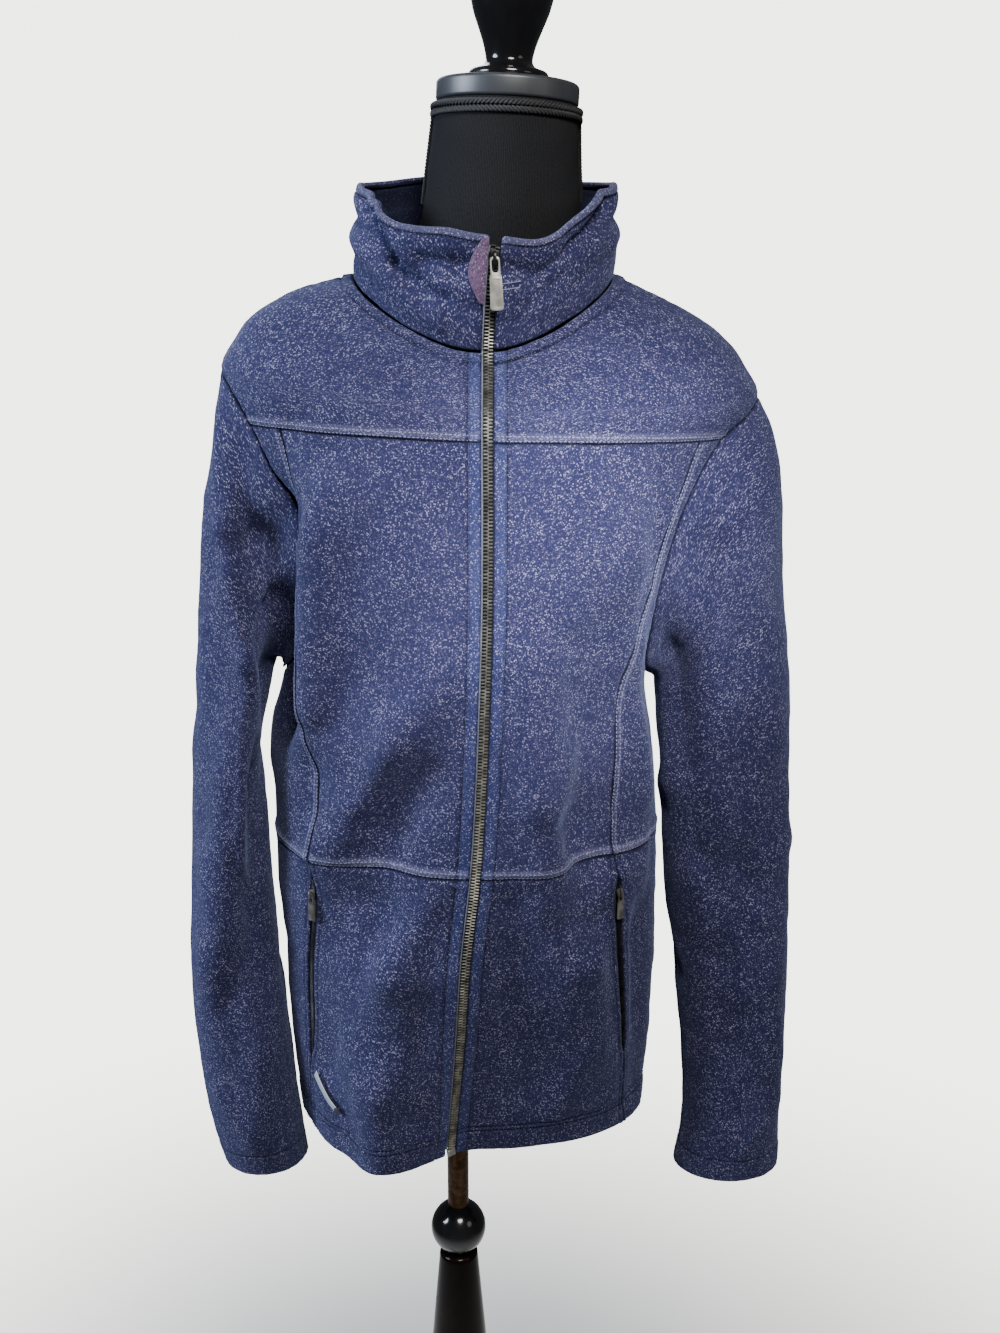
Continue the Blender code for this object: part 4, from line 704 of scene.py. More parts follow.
LACQUER = wooden("black_lacquer", (0.0030, 0.0030, 0.0035), (0.012, 0.011, 0.011), 0.4, 0.0001, 0.15,
    Coat_Weight=0.35, Coat_Roughness=0.16, Specular_IOR_Level=0.3)
PEWTER_WOOD = wooden("pewter_cap", (0.020, 0.022, 0.025), (0.060, 0.066, 0.074), 0.6, 0.0002, 0.25, 0.42,
    Specular_IOR_Level=0.6)
BROWN_WOOD = wooden("dark_brown_wood", (0.0018, 0.0010, 0.0007), (0.012, 0.006, 0.0035), 0.3, 0.00015, 0.2,
    Coat_Weight=0.08, Coat_Roughness=0.25, Specular_IOR_Level=0.12)


def metal(name, base, bright, strokes, bump, metallic):
    values = {"Base": base, "Bright": bright, "Strokes": strokes}
    return finish(name, rubbed, values, 0.0001, bump, Metallic=metallic)


BRONZE = metal("brown_pole_metal", (0.036, 0.018, 0.009), (0.10, 0.056, 0.030), 1400.0, 0.2, 1.0)
GUNMETAL = metal("gunmetal", (0.11, 0.105, 0.095), (0.26, 0.25, 0.23), 900.0, 0.2, 0.6)
PALE_METAL = metal("brushed_nickel", (0.34, 0.325, 0.275), (0.56, 0.54, 0.47), 900.0, 0.25, 0.55)
BLACK_METAL = metal("black_slider", (0.006, 0.006, 0.007), (0.035, 0.034, 0.034), 900.0, 0.2, 0.8)
TOOTH_METAL = metal("tooth_metal", (0.065, 0.062, 0.054), (0.25, 0.24, 0.20), 2600.0, 0.3, 0.6)
print("finishes:", len(bpy.data.materials))

# %% [markdown]
# ## How a piece of cloth is made
# The grid is fine near a seam, where cloth rolls inwards and leaves a thin groove; painted shade darkens it further.
# The flat grid is thickened into a closed wall; then each vertex goes to its place, lifted for seams, stitching and
# creases. The UV map is in metres, so flecks keep their size.

# %% Where the columns and rows of a cloth grid go
NEAR = MM * np.array([0, 0.12, 0.35, 0.7, 1.15, 1.7, 2.4, 3.2, 4.1, 5.1, 6.2, 7.4, 8.5, 9.3, 10.4])
CELL = 3.6 * MM


def along(points):
    """How far each point of a line lies from its start."""
    steps = np.linalg.norm(np.diff(points, axis=0), axis=1)
    return np.concatenate([[0.0], np.cumsum(steps)])


def between(at, reach, points):
    """The values of a line's points at some distances along it."""
    return np.stack([np.interp(at, reach, points[:, axis]) for axis in range(3)], axis=1)


def column_angles(surface, levels, left, right, cell=CELL):
    """The angle of every column in every row: close together at both edges, even between."""
    share = np.linspace(0, 1, 121)
    angles = left[:, None] * (1 - share) + right[:, None] * share
    points = surface(angles, levels[:, None])
    steps = np.linalg.norm(np.diff(points, axis=1), axis=2)
    arc = np.concatenate([np.zeros((len(levels), 1)), np.cumsum(steps, axis=1)], axis=1)
    width = arc[:, -1:]
    near = NEAR * np.minimum(1, 0.42 * width / NEAR[-1])
    count = max(round((width.max() - 2 * NEAR[-1]) / cell), 2)
    middle = near[:, -1:] + (width - 2 * near[:, -1:]) * np.linspace(0, 1, count + 1)[1:-1]
    places = np.concatenate([near, middle, width - near[:, ::-1]], axis=1)
    found = np.array([np.interp(place, line, angle) for place, line, angle in zip(places, arc, angles)])
    return found, places - width / 2


def row_levels(surface, low, high, angle, extra=(), cell=CELL):
    """Levels of the rows: close together at both ends, with extra ones where an edge curves."""
    share = np.linspace(low, high, 241)
    arc = along(surface(np.full(share.shape, angle), share))
    ends = np.concatenate([NEAR, arc[-1] - NEAR[::-1]])
    count = max(round((arc[-1] - 2 * NEAR[-1]) / cell), 2)
    places = np.concatenate([ends, np.linspace(NEAR[-1], arc[-1] - NEAR[-1], count + 1)[1:-1]])
    levels = np.interp(np.sort(places), arc, share)
    chosen = [level for level in extra if low <= level <= high]
    for level in levels:
        if not chosen or np.min(np.abs(np.array(chosen) - level)) > 0.25 * MM or level in (low, high):
            chosen.append(level)
    return np.unique(np.round(chosen, 7))


ARMHOLE_STEPS = armhole(1, np.radians(np.linspace(-90, 90, 61)))[1]
print("armhole rows:", len(ARMHOLE_STEPS))

# %% Distances from seams
def distance_to(points, line):
    """How far points are from a line, and how far along the line they are nearest to it."""
    flat = points.reshape(-1, 3)
    far = np.full(len(flat), 1.0)
    place = np.zeros(len(flat))
    coarse = line[:: max(1, len(line) // 40)]
    rough = np.sqrt(np.maximum((flat**2).sum(1)[:, None] + (coarse**2).sum(1) - 2 * flat @ coarse.T, 0)).min(axis=1)
    close = np.nonzero(rough < 0.045)[0]
    start = line[:-1]
    run = np.diff(line, axis=0)
    size = np.maximum((run**2).sum(1), 1e-14)
    length = along(line)
    for first in range(0, len(close), 3000):
        some = close[first : first + 3000]
        reach = flat[some][:, None] - start
        share = held((reach * run).sum(-1) / size)
        gap = np.linalg.norm(reach - share[..., None] * run, axis=-1)
        best = gap.argmin(axis=1)
        rows = np.arange(len(some))
        far[some] = gap[rows, best]
        place[some] = length[best] + share[rows, best] * (length[best + 1] - length[best])
    return far.reshape(points.shape[:-1]), place.reshape(points.shape[:-1])


def roll(distance, radius):
    """How far the cloth's edge turns in, as the quarter of a circle."""
    inside = np.clip(radius - distance, 0, radius)
    return radius - np.sqrt(np.maximum(radius**2 - inside**2, 0))


def rounded(share):
    """The height of a rounded edge, at a share of the way in from it."""
    return np.sqrt(held(1 - (1 - held(share)) ** 2))


def bump(distance, middle, width):
    return np.exp(-(((distance - middle) / width) ** 2))


def plateau(distance, low, high, softness):
    """1 between two distances, with soft flanks."""
    up = 1 / (1 + np.exp(np.clip((low - distance) / softness, -40, 40)))
    down = 1 / (1 + np.exp(np.clip((distance - high) / softness, -40, 40)))
    return up * down


def unevenness(points, size, seed, count=9):
    """A smooth random swell between about -1 and 1, with waves about this long."""
    chance = np.random.default_rng(seed)
    waves = chance.normal(size=(count, 3)) * 2.2 / size
    shifts = chance.uniform(0, 2 * pi, count)
    return np.sin(points @ waves.T + shifts).sum(axis=-1) / math.sqrt(count)

# %% Finished sheets
def cloth_mesh(name, outer, inner, uv, closed=False, band_tone_and_shade=None):
    """A wall of cloth from the grids of its outer and inner sides. closed joins the first and last columns.

    The last argument is a grid from -1, painted shade in a groove or along a stitch row, to 1 on a pale stitched
    band; the cloth's finish reads it.
    """
    rows, columns = outer.shape[:2]
    grid = bmesh.new()
    cells = columns if closed else columns - 1
    bmesh.ops.create_grid(grid, x_segments=cells, y_segments=rows - 1, size=0.5)
    if closed:
        for vertex in grid.verts:
            turn = 2 * pi * (vertex.co.x + 0.5)
            vertex.co = (math.cos(turn), math.sin(turn), vertex.co.y)
        bmesh.ops.remove_doubles(grid, verts=grid.verts[:], dist=1e-5)
        bmesh.ops.recalc_face_normals(grid, faces=grid.faces[:])
    bmesh.ops.solidify(grid, geom=grid.faces[:], thickness=0.5)
    mesh = bpy.data.meshes.new(name)
    grid.to_mesh(mesh)
    grid.free()
    flat = np.empty(3 * len(mesh.vertices))
    mesh.vertices.foreach_get("co", flat)
    flat = flat.reshape(-1, 3)
    if closed:
        radius = np.hypot(flat[:, 0], flat[:, 1])
        across = np.rint(np.arctan2(flat[:, 1], flat[:, 0]) / (2 * pi) * cells).astype(int) % cells
        up = np.rint((flat[:, 2] + 0.5) * (rows - 1)).astype(int)
        deep = radius < (radius.max() + radius.min()) / 2
    else:
        across = np.rint((flat[:, 0] + 0.5) * cells).astype(int)
        up = np.rint((flat[:, 1] + 0.5) * (rows - 1)).astype(int)
        deep = flat[:, 2] < -0.25
    places = np.where(deep[:, None], inner[up, across], outer[up, across])
    mesh.vertices.foreach_set("co", (places + AXIS).ravel())
    # The seam attribute holds the pale stitched bands and the painted shade of grooves and stitch rows.
    if band_tone_and_shade is not None:
        seam = mesh.attributes.new("seam", "FLOAT", "POINT")
        seam.data.foreach_set("value", np.where(deep, 0.0, band_tone_and_shade[up, across]))
    corner = np.empty(len(mesh.loops), dtype=np.int32)
    mesh.loops.foreach_get("vertex_index", corner)
    pattern = uv[up, across][corner].reshape(-1, 4, 2)
    if closed:
        whole = (uv[0, 1, 0] - uv[0, 0, 0]) * cells
        middle = pattern[..., 0].min(axis=1, keepdims=True) + whole / 2
        wide = np.ptp(pattern[..., 0], axis=1, keepdims=True) > whole / 2
        pattern[..., 0] += np.where(wide & (pattern[..., 0] < middle), whole, 0)
    layer = mesh.uv_layers.new(name="cloth")
    layer.data.foreach_set("uv", pattern.ravel())
    inside = deep[corner].reshape(-1, 4).all(axis=1)
    set_finishes(mesh, inside)
    check = bmesh.new()
    check.from_mesh(mesh)
    if check.calc_volume(signed=True) < 0:
        bmesh.ops.reverse_faces(check, faces=check.faces[:])
        check.to_mesh(mesh)
    check.free()
    mesh.shade_smooth()
    return mesh


def place_piece(name, mesh, *finishes, node_name=None, body=BODY):
    """Puts a mesh in the scene as a piece, with its finishes, on a body. It stands for node_name."""
    for made in finishes:
        mesh.materials.append(made)
    piece = bpy.data.objects.new(name, mesh)
    bpy.context.scene.collection.objects.link(piece)
    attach(piece, body)
    if node_name:
        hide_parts(node_name)
    return piece


def whole_mesh(name, shell, sharp=None):
    """A mesh from a finished bmesh, smooth but for edges sharper than so many degrees."""
    mesh = bpy.data.meshes.new(name)
    shell.to_mesh(mesh)
    shell.free()
    mesh.shade_smooth()
    if sharp:
        mesh.set_sharp_from_angle(angle=radians(sharp))
    return mesh


def surface_area(mesh):
    """Half the whole surface: the area of a thin wall's one side."""
    areas = np.empty(len(mesh.polygons))
    mesh.polygons.foreach_get("area", areas)
    return areas.sum() / 2


def face_centres(mesh):
    centres = np.empty(3 * len(mesh.polygons))
    mesh.polygons.foreach_get("center", centres)
    return centres.reshape(-1, 3) - AXIS


def set_finishes(mesh, numbers):
    mesh.polygons.foreach_set("material_index", (np.zeros(len(mesh.polygons)) + numbers).astype(np.int32))


def numbered_grid(columns, rows, *values, mapped=True):
    """A flat grid of quads with a UV map and named values, and the column and row of each of its vertices."""
    grid = bmesh.new()
    layer = grid.loops.layers.uv.new("cloth") if mapped else None
    for name in values:
        grid.verts.layers.float.new(name)
    bmesh.ops.create_grid(grid, x_segments=columns - 1, y_segments=rows - 1, size=0.5)
    place = {vertex: (round((vertex.co.x + 0.5) * (columns - 1)), round((vertex.co.y + 0.5) * (rows - 1)))
        for vertex in grid.verts}
    return grid, layer, place


CUTS = {}


def cloth_piece(name, mesh, *finishes, suffix="fleece"):
    """Places a cloth piece, which stands for the node of its name, and keeps its area."""
    piece = place_piece(f"{name}_{suffix}", mesh, *finishes, node_name=name)
    CUTS[name] = surface_area(mesh)
    print(piece.name, len(mesh.polygons) * 2, "triangles,", round(CUTS[name], 4), "m2")


print("finest cell:", round(NEAR[1] / MM, 2), "mm, widest:", round(CELL / MM, 2), "mm")

# %% [markdown]
# ## Small creases and seam reliefs
# The large folds come from the shared surface. Fleece also has small dents: drag lines under the arm, at the pockets
# and beside tight seams, on the hidden sides too. Each seam type is one row of sizes.

# %% Small creases and seam types
SMALL_BODY_FOLDS = fold_table("""
    -50 1.275 -58 1.19 10 -2.6   -58 1.3 -66 1.235 9 -2.2   -57 1.205 -62 1.11 9 3   -61 1.13 -55 1.04 8 -2.2
    -20 1.075 -44 0.985 11 2.6   -12 1.05 -30 0.985 10 -2.4   -38 1.11 -50 1.035 9 -2   -50 1 -28 0.99 7 1.4
    -9 0.94 -24 0.87 10 -2.4   -40 0.93 -46 0.84 9 2.2   -20 0.83 -12 0.75 12 2.2   -44 0.85 -56 0.79 9 -2
    24 1.18 38 1.11 10 -1.8   50 1.215 58 1.12 10 2.6   55 1.265 61 1.19 9 -2.4   46 1.08 30 1.02 9 2
    14 1.06 22 0.99 10 -2   54 1.01 38 0.985 8 -2   62 0.965 48 0.935 7 2.2   58 0.945 44 0.905 7 -2.2
    14 0.93 26 0.86 11 2.2   20 0.9 12 0.79 12 -2.4   50 0.84 40 0.76 10 2   78 0.98 70 0.89 9 -2
    104 1.09 128 1.04 11 -2.6   100 1.055 120 0.99 10 2.2   118 1.21 132 1.12 12 3   126 1.25 150 1.16 11 -2.6
    150 1.06 176 1.01 13 -2.8   164 1.02 196 0.985 12 2.4   206 1.05 184 1.015 12 -2.4   232 1.24 216 1.15 11 -2.8
    244 1.2 230 1.12 12 3   262 1.08 238 1.03 11 -2.6   258 1.03 240 0.98 10 2   136 0.88 130 0.76 12 2.4
    168 0.9 164 0.77 11 -2   202 0.87 206 0.75 12 2.2   232 0.9 236 0.77 11 -2.4   -60 1.362 -84 1.335 10 -1.2
    60 1.362 84 1.335 10 -1.2
""")

# Broad, shallow shapes of the hanging cloth, which catch the side light.
DRAPE = fold_table("""
    -36 1.235 -24 1.195 42 6   34 1.235 46 1.19 44 7   -47 1.215 -49 1.09 14 5   -65 1.225 -66 1.1 20 -10
    -34 1.12 -40 1.085 24 -4.5   -51 1.07 -55 1.01 15 -6   -12 1.105 -38 1.025 16 6   -38 1.025 -53 0.975 14 5.5
    -12 1.05 -28 1 22 -7.5   -46 0.945 -30 0.94 18 -3.5   -12 0.945 -24 0.895 18 5.5   -24 0.895 -44 0.815 20 6
    -9 0.89 -17 0.78 24 -8   -60 0.83 -40 0.745 20 -3   40 1.14 54 0.99 30 -10   16 1.12 24 1.03 16 5
    24 1.03 30 0.99 14 4.5   66 1.13 71 1.01 12 5   38 0.97 46 0.895 22 6   46 0.895 54 0.81 22 5
    15 0.94 32 0.79 26 -9   66 0.92 74 0.82 14 -5   100 1.19 116 1.06 26 -6   128 1.22 150 1.11 30 5.5
    150 1.06 196 1.035 20 -6.5   160 1.005 214 0.985 18 5.5   232 1.21 214 1.12 28 -6   258 1.18 244 1.05 26 5
    140 0.9 152 0.79 26 -6   204 0.92 216 0.78 30 6   180 0.88 178 0.74 22 -5   246 0.91 238 0.79 24 -5.5
""")


def eased(share):
    share = held(share)
    return share**2 * (3 - 2 * share)


def drape(angle, level):
    """The broad shapes' lift. It fades out at the zip, the armholes, the pocket zips and the neck seam."""
    lift = fold_lift(DRAPE, angle, level, ROUND_BODY)
    turned = (angle + pi) % (2 * pi) - pi
    around = (np.abs(turned) - pi / 2) / ARMHOLE_HALF_ANGLE
    ring = np.hypot(around, (level - ARMHOLE_LEVEL) / ARMHOLE_HALF_HEIGHT)
    fade = eased((ring - 1.03) / 0.35) * eased((NECK_LEVEL - level) / 0.05 - 0.3)
    fade = fade * eased((np.abs(turned - zip_angle(level)) * ROUND_BODY - 0.007) / 0.028)
    for side in (1, -1):
        beside = np.abs(turned - princess_angle(side, level)) * ROUND_BODY
        above = np.maximum(POCKET_ZIP_FOOT - level, level - POCKET_ZIP_TOP)
        apart = np.hypot(beside, held(above))
        fade = fade * eased((apart - 0.005) / 0.022)
    return fade * lift


# Millimetres: how far the edge rolls in, the band's height and width, its rows of stitches, the puff beside it;
# last, how much paler the band is. A row on cloth without a pale band gets a dark line of painted shade, as does
# the seam's own groove.
SEAM_TYPES = {"seam": (1.3, 0.0, 0.0, (), 0.45, 0.0), "zip": (1.0, 0.15, 8.6, (9.3,), 0.0, 0.0),
    "yoke_band": (1.7, 0.80, 6.4, (2.0, 5.4), 0.0, 0.28), "side_band": (1.7, 0.80, 5.6, (1.8, 4.7), 0.0, 0.21),
    "pocket_band": (1.8, 1.00, 7.0, (2.1, 5.6), 0.0, 0.38), "neck_band": (1.6, 1.70, 8.2, (9.0,), 0.0, 0.0),
    "zip_pocket": (1.6, 0.35, 3.6, (4.6,), 0.0, 0.0), "hem": (2.0, 0.20, 19.0, (19.6, 23.8), 0.0, 0.0),
    "cuff": (2.0, 0.20, 19.0, (19.8,), 0.0, 0.0)}
print("small creases:", len(SMALL_BODY_FOLDS["lift"]), "seam types:", len(SEAM_TYPES))

# %% The relief beside a seam
def seam_relief(kind, distance, place):
    """How far a seam type lifts the cloth's face, how far it rolls the edge in, and how its colour is marked: a paler
    band, and painted shade in its groove and stitch rows.
    """
    radius, height, width, rows, puff, pale = SEAM_TYPES[kind]
    band = plateau(distance / MM, 1.0, width, 0.35) if width else 0 * distance
    lift = height * band + puff * bump(distance / MM, 4.2, 2.4)
    # Painted shade of -1 at the seam's edge, where the rolled groove lies, and a paler stitched band.
    band_tone_and_shade = pale * band - bump(distance / MM, 0, 1.0)
    # Each stitch row sinks the cloth; on a seam without a pale band it also gets a line of painted shade.
    for row in rows:
        lift = lift - (0.45 if pale else 0.95) * bump(distance / MM, row, 0.55)
        band_tone_and_shade = band_tone_and_shade - (0.0 if pale else 0.65) * bump(distance / MM, row, 0.75)
    reach = max(width, 5.0) + 3
    wave = np.sin(place / 0.0019 + 1.6 * np.sin(place / 0.0071)) * (0.6 + 0.4 * np.sin(place / 0.023))
    lift = lift + 0.16 * wave * np.exp(-((distance / MM / reach) ** 2))
    return lift * MM, roll(distance, radius * MM), band_tone_and_shade

# %% Stitches are collected here while the pieces are made
STITCH_ROWS = {}


def keep_stitches(group, points, normals, skip=0.0):
    """Remembers a row of stitches: a line on the cloth's face and its outward directions."""
    length = along(points)
    if skip:
        chosen = (length > skip) & (length < length[-1] - skip)
        points, normals = points[chosen], normals[chosen]
    STITCH_ROWS.setdefault(group, []).append((points, normals))


def line_beside(grids, side, distance):
    """The line at a distance from one edge of a grid: 'start' and 'end' are columns, 'low' and 'high' rows."""
    face, normals = grids
    if side in ("low", "high"):
        face, normals = face.transpose(1, 0, 2), normals.transpose(1, 0, 2)
    if side in ("end", "high"):
        face, normals = face[:, ::-1], normals[:, ::-1]
    lengths = [along(line) for line in face]
    points, directions = (np.concatenate([between([distance], length, line) for length,
        line in zip(lengths, lines)]) for lines in (face, normals))
    return points, unit(directions)

# %% A piece of the body
def soft_wall(distance_from_hem):
    """The wall's thickness: doubled in the turned hem."""
    return HEM_WALL + (WALL - HEM_WALL) * eased((distance_from_hem / MM - 21) / 4)


def body_cloth(name, levels, start, end, kinds, threads, seed):
    """A panel between two edge lines. kinds names the seam type of each side; threads, its stitches' group."""
    levels = levels.copy()
    levels[0] += SEAM_GAP / 2 if levels[0] > HEM_LEVEL else 0
    levels[-1] -= SEAM_GAP / 2
    angle, across = column_angles(torso, levels, start(levels), end(levels))
    level = np.repeat(levels[:, None], angle.shape[1], axis=1)
    base = torso(angle, level)
    normal = facing(torso, angle, level)
    edges = {"start": base[:, 0], "end": base[:, -1], "low": base[0], "high": base[-1]}
    lift = fold_lift(SMALL_BODY_FOLDS, angle, level, ROUND_BODY)
    broad = drape(angle, level)
    lift = lift + 0.45 * MM * unevenness(base, 0.030, seed) + 0.14 * MM * unevenness(base, 0.010, seed + 1)
    turned, band_tone_and_shade = np.zeros((2, *angle.shape))
    hem = np.full(angle.shape, 1.0)
    for side, kind in kinds.items():
        distance, place = distance_to(base, edges[side])
        raised, rolled, shade = seam_relief(kind, distance, place)
        lift = lift + raised
        band_tone_and_shade = band_tone_and_shade + shade
        turned = np.maximum(turned, rolled)
        if kind == "hem":
            hem = distance
    wall = soft_wall(hem)
    turned = np.minimum(turned, 0.48 * wall)
    face = base + (broad + lift - turned)[..., None] * normal
    inner = base + (broad + 0.6 * lift - wall + turned)[..., None] * normal
    pattern = np.stack([across, np.repeat(along(base[:, angle.shape[1] // 2])[:, None], angle.shape[1], 1)], -1)
    mesh = cloth_mesh(name, face, inner, pattern + 0.37 * seed, band_tone_and_shade=np.clip(band_tone_and_shade, -1, 1))
    for side, group in threads.items():
        for row in SEAM_TYPES[kinds[side]][3]:
            points, directions = line_beside((face, normal), side, row * MM)
            keep_stitches(group, points, directions, 2.5 * MM)
    if "zip" in kinds.values():
        facing_strip(mesh, edges["start"])
    cloth_piece(name, mesh, FLEECE, LINING, FACING)


def facing_strip(mesh, zip_line):
    """Gives the strip between the zip and its row of stitches the smoother facing cloth."""
    distance = distance_to(face_centres(mesh), zip_line)[0]
    index = np.empty(len(mesh.polygons), dtype=np.int32)
    mesh.polygons.foreach_get("material_index", index)
    index[(distance < 9.2 * MM) & (index == 0)] = 2
    set_finishes(mesh, index)

# %% [markdown]
# ## Fronts, sides and back
# Beside the zip lie a yoke, a centre front and a pocket panel; behind the princess seam, a side and a hip panel. The
# back is one piece. Edges are functions of the level, so neighbours follow the same line, parted at the pocket zips.

# %% Edges of the panels
TAPE_SHOWS = 0.9 * MM     # the sliver of tape beside the chain, on the wearer's right


def zip_edge(side):
    half = ZIP_OPENING / 2 + (TAPE_SHOWS if side < 0 else 0)
    return lambda level: shifted(torso, zip_angle(level), level, side * half)


def princess_edge(side, towards_zip):
    """The edge of the centre front (towards_zip 1) or of the side panel (-1) along a princess seam."""
    return lambda level: shifted(torso, princess_angle(side, level), level,
        -side * towards_zip * pocket_half_gap(level))


def side_edge(side, towards_front):
    """Side seam, armhole and shoulder seam in one line, on its front (1) or back (-1) side."""

    def edge(level):
        middle = side * pi / 2
        seam = middle - side * towards_front * armhole_width(level)
        return shifted(torso, seam, level, -side * towards_front * SEAM_GAP / 2)

    return edge


YOKE_LEVEL = ARMHOLE_LEVEL + ARMHOLE_HALF_HEIGHT * math.sin(radians(45))
POCKET_ENDS = [end + way * POCKET_FADE * share for share in (0, 0.25, 0.5, 0.75, 1) for end,
    way in ((POCKET_ZIP_FOOT, -1), (POCKET_ZIP_TOP, 1))]
HEM_STEPS = [HEM_LEVEL + step * MM for step in (18.4, 19.0, 19.6, 20.2, 20.9, 22.0, 22.9, 23.4, 23.9, 24.5, 25.2)]
LOWER_LEVELS = row_levels(torso, HEM_LEVEL, POCKET_SEAM, 0.6, POCKET_ENDS + HEM_STEPS)
CHEST_LEVELS = row_levels(torso, POCKET_SEAM, YOKE_LEVEL, 0.6, ARMHOLE_STEPS)
NECK_STEPS = NECK_LEVEL - np.arange(3.5, 12, 0.55) * MM
YOKE_LEVELS = row_levels(torso, YOKE_LEVEL, NECK_LEVEL, 0.6, [*ARMHOLE_STEPS, *NECK_STEPS])
BACK_LEVELS = row_levels(torso, HEM_LEVEL, NECK_LEVEL, pi, [*ARMHOLE_STEPS, *HEM_STEPS, *NECK_STEPS])
print("rows:", len(LOWER_LEVELS), len(CHEST_LEVELS), len(YOKE_LEVELS), len(BACK_LEVELS))

# %% The two fronts
ZIP_SIDE, SEAM_SIDE = {"start": "zip", "end": "seam"}, {"high": "seam"}
POCKET_LOW, HEM_LOW = {"low": "pocket_band"}, {"low": "hem"}
ZIP_THREAD, POCKET_THREAD = {"start": "zip_stitching"}, {"low": "pocket_coverstitch"}
HEM_THREAD = {"low": "hem_stitching"}
for side, word in ((1, "left"), (-1, "right")):
    opening, princess = zip_edge(side), princess_edge(side, 1)
    beside, arm = princess_edge(side, -1), side_edge(side, 1)
    body_cloth(f"front_yoke_{word}", YOKE_LEVELS, opening, arm,
        {**ZIP_SIDE, "low": "yoke_band", "high": "neck_band"}, {**ZIP_THREAD, "low": "yoke_coverstitch",
        "high": "neck_stitching"}, 11 + side)
    body_cloth(f"centre_front_{word}", CHEST_LEVELS, opening, princess, {**ZIP_SIDE, **POCKET_LOW, **SEAM_SIDE},
        {**ZIP_THREAD, **POCKET_THREAD}, 21 + side)
    body_cloth(f"pocket_panel_{word}", LOWER_LEVELS, opening, princess, {**ZIP_SIDE, "end": "zip_pocket", **HEM_LOW,
        **SEAM_SIDE}, {**ZIP_THREAD, **HEM_THREAD}, 31 + side)
    body_cloth(f"side_panel_{word}", CHEST_LEVELS, beside, arm, {"start": "side_band", "end": "seam", **POCKET_LOW,
        **SEAM_SIDE}, {"start": "princess_coverstitch", **POCKET_THREAD}, 41 + side)
    body_cloth(f"hip_panel_{word}", LOWER_LEVELS, beside, arm, {"start": "zip_pocket", "end": "seam", **HEM_LOW,
        **SEAM_SIDE}, HEM_THREAD, 51 + side)

# %% The back
right_edge = side_edge(-1, -1)
body_cloth("back_panel", BACK_LEVELS, side_edge(1, -1), lambda level: right_edge(level) + 2 * pi,
    {"start": "seam", "end": "seam", "low": "hem", "high": "neck_band"},
    {"low": "hem_stitching", "high": "neck_stitching"}, 61)

# %% [markdown]
# ## Sleeves
# A sleeve is one tube with its seam under the arm, set into the armhole. Its cap leaves the shoulder
# smoothly and turns down. The tube's grid is closed first and thickened then, so both walls stay whole.

# %% Small creases of the sleeves
SMALL_SLEEVE_FOLDS = {
    "left": fold_table("""
    -20 1.27 10 1.2 10 -2.2   20 1.18 60 1.13 11 2.2   340 1.02 20 0.95 10 2.4   -30 0.96 10 0.9 9 -2.6
    50 0.93 20 0.86 10 -2.2   -10 0.8 30 0.76 10 -2   30 0.725 0 0.7 9 1.8   100 1.05 130 0.98 11 -2.4
    120 0.96 160 0.9 10 2.6   110 0.85 150 0.79 11 -2.2   180 1.18 220 1.1 12 -3   210 1 180 0.93 11 2.8
    250 1.08 285 0.99 10 -2.8   240 0.9 280 0.85 10 -2.6   190 0.74 230 0.71 10 2
"""),
    "right": fold_table("""
    -20 1.29 0 1.21 9 -2.4   20 1.2 50 1.14 11 2.2   -30 1.06 -6 0.99 9 2.4   0 0.96 -30 0.905 9 -2.8
    50 0.96 14 0.9 10 2.2   -14 0.87 24 0.83 10 -2.4   36 0.76 4 0.725 9 2   90 1.08 130 1.01 11 -2.4
    120 0.95 160 0.89 10 2.6   110 0.84 150 0.79 11 -2.2   180 1.19 216 1.11 12 -3   210 1.01 184 0.94 11 2.8
    256 1.09 286 1 10 -2.8   240 0.89 280 0.85 10 -2.6   190 0.75 230 0.72 10 2
"""),
}
BROAD_SLEEVE_FOLDS = {
    "left": fold_table("""
    -40 1.23 -50 1.13 16 -6   20 1.24 14 1.08 18 4   16 1.035 6 0.95 18 -6.5   6 0.95 -14 0.875 16 -5.5
    -34 1 -30 0.9 16 4   40 0.9 34 0.78 20 3.5   -4 0.82 10 0.74 18 -4   130 1.18 150 1.06 20 -5
    190 1.06 215 0.93 20 5   230 0.96 205 0.83 18 -5
"""),
    "right": fold_table("""
    64 1.3 40 1.215 10 5   40 1.215 -2 1.12 10 5.5   -2 1.12 -58 1.05 9 3.5   30 1.262 8 1.207 20 -11
    8 1.207 -20 1.16 21 -13   -20 1.16 -60 1.105 18 -10   44 1.285 20 1.205 6 -4   20 1.205 -20 1.12 6 -4
    74 1.23 60 1.1 14 3   -40 1.02 -30 0.86 18 -6   24 1.02 30 0.88 20 4   0 0.88 14 0.78 18 -4.5
    -30 0.8 -10 0.72 16 3.5   130 1.2 152 1.08 20 -5   196 1.05 214 0.93 20 5   236 0.97 208 0.84 18 -5
"""),
}
SLEEVE_TURNS = 120
SLEEVE_LENGTH = 0.65

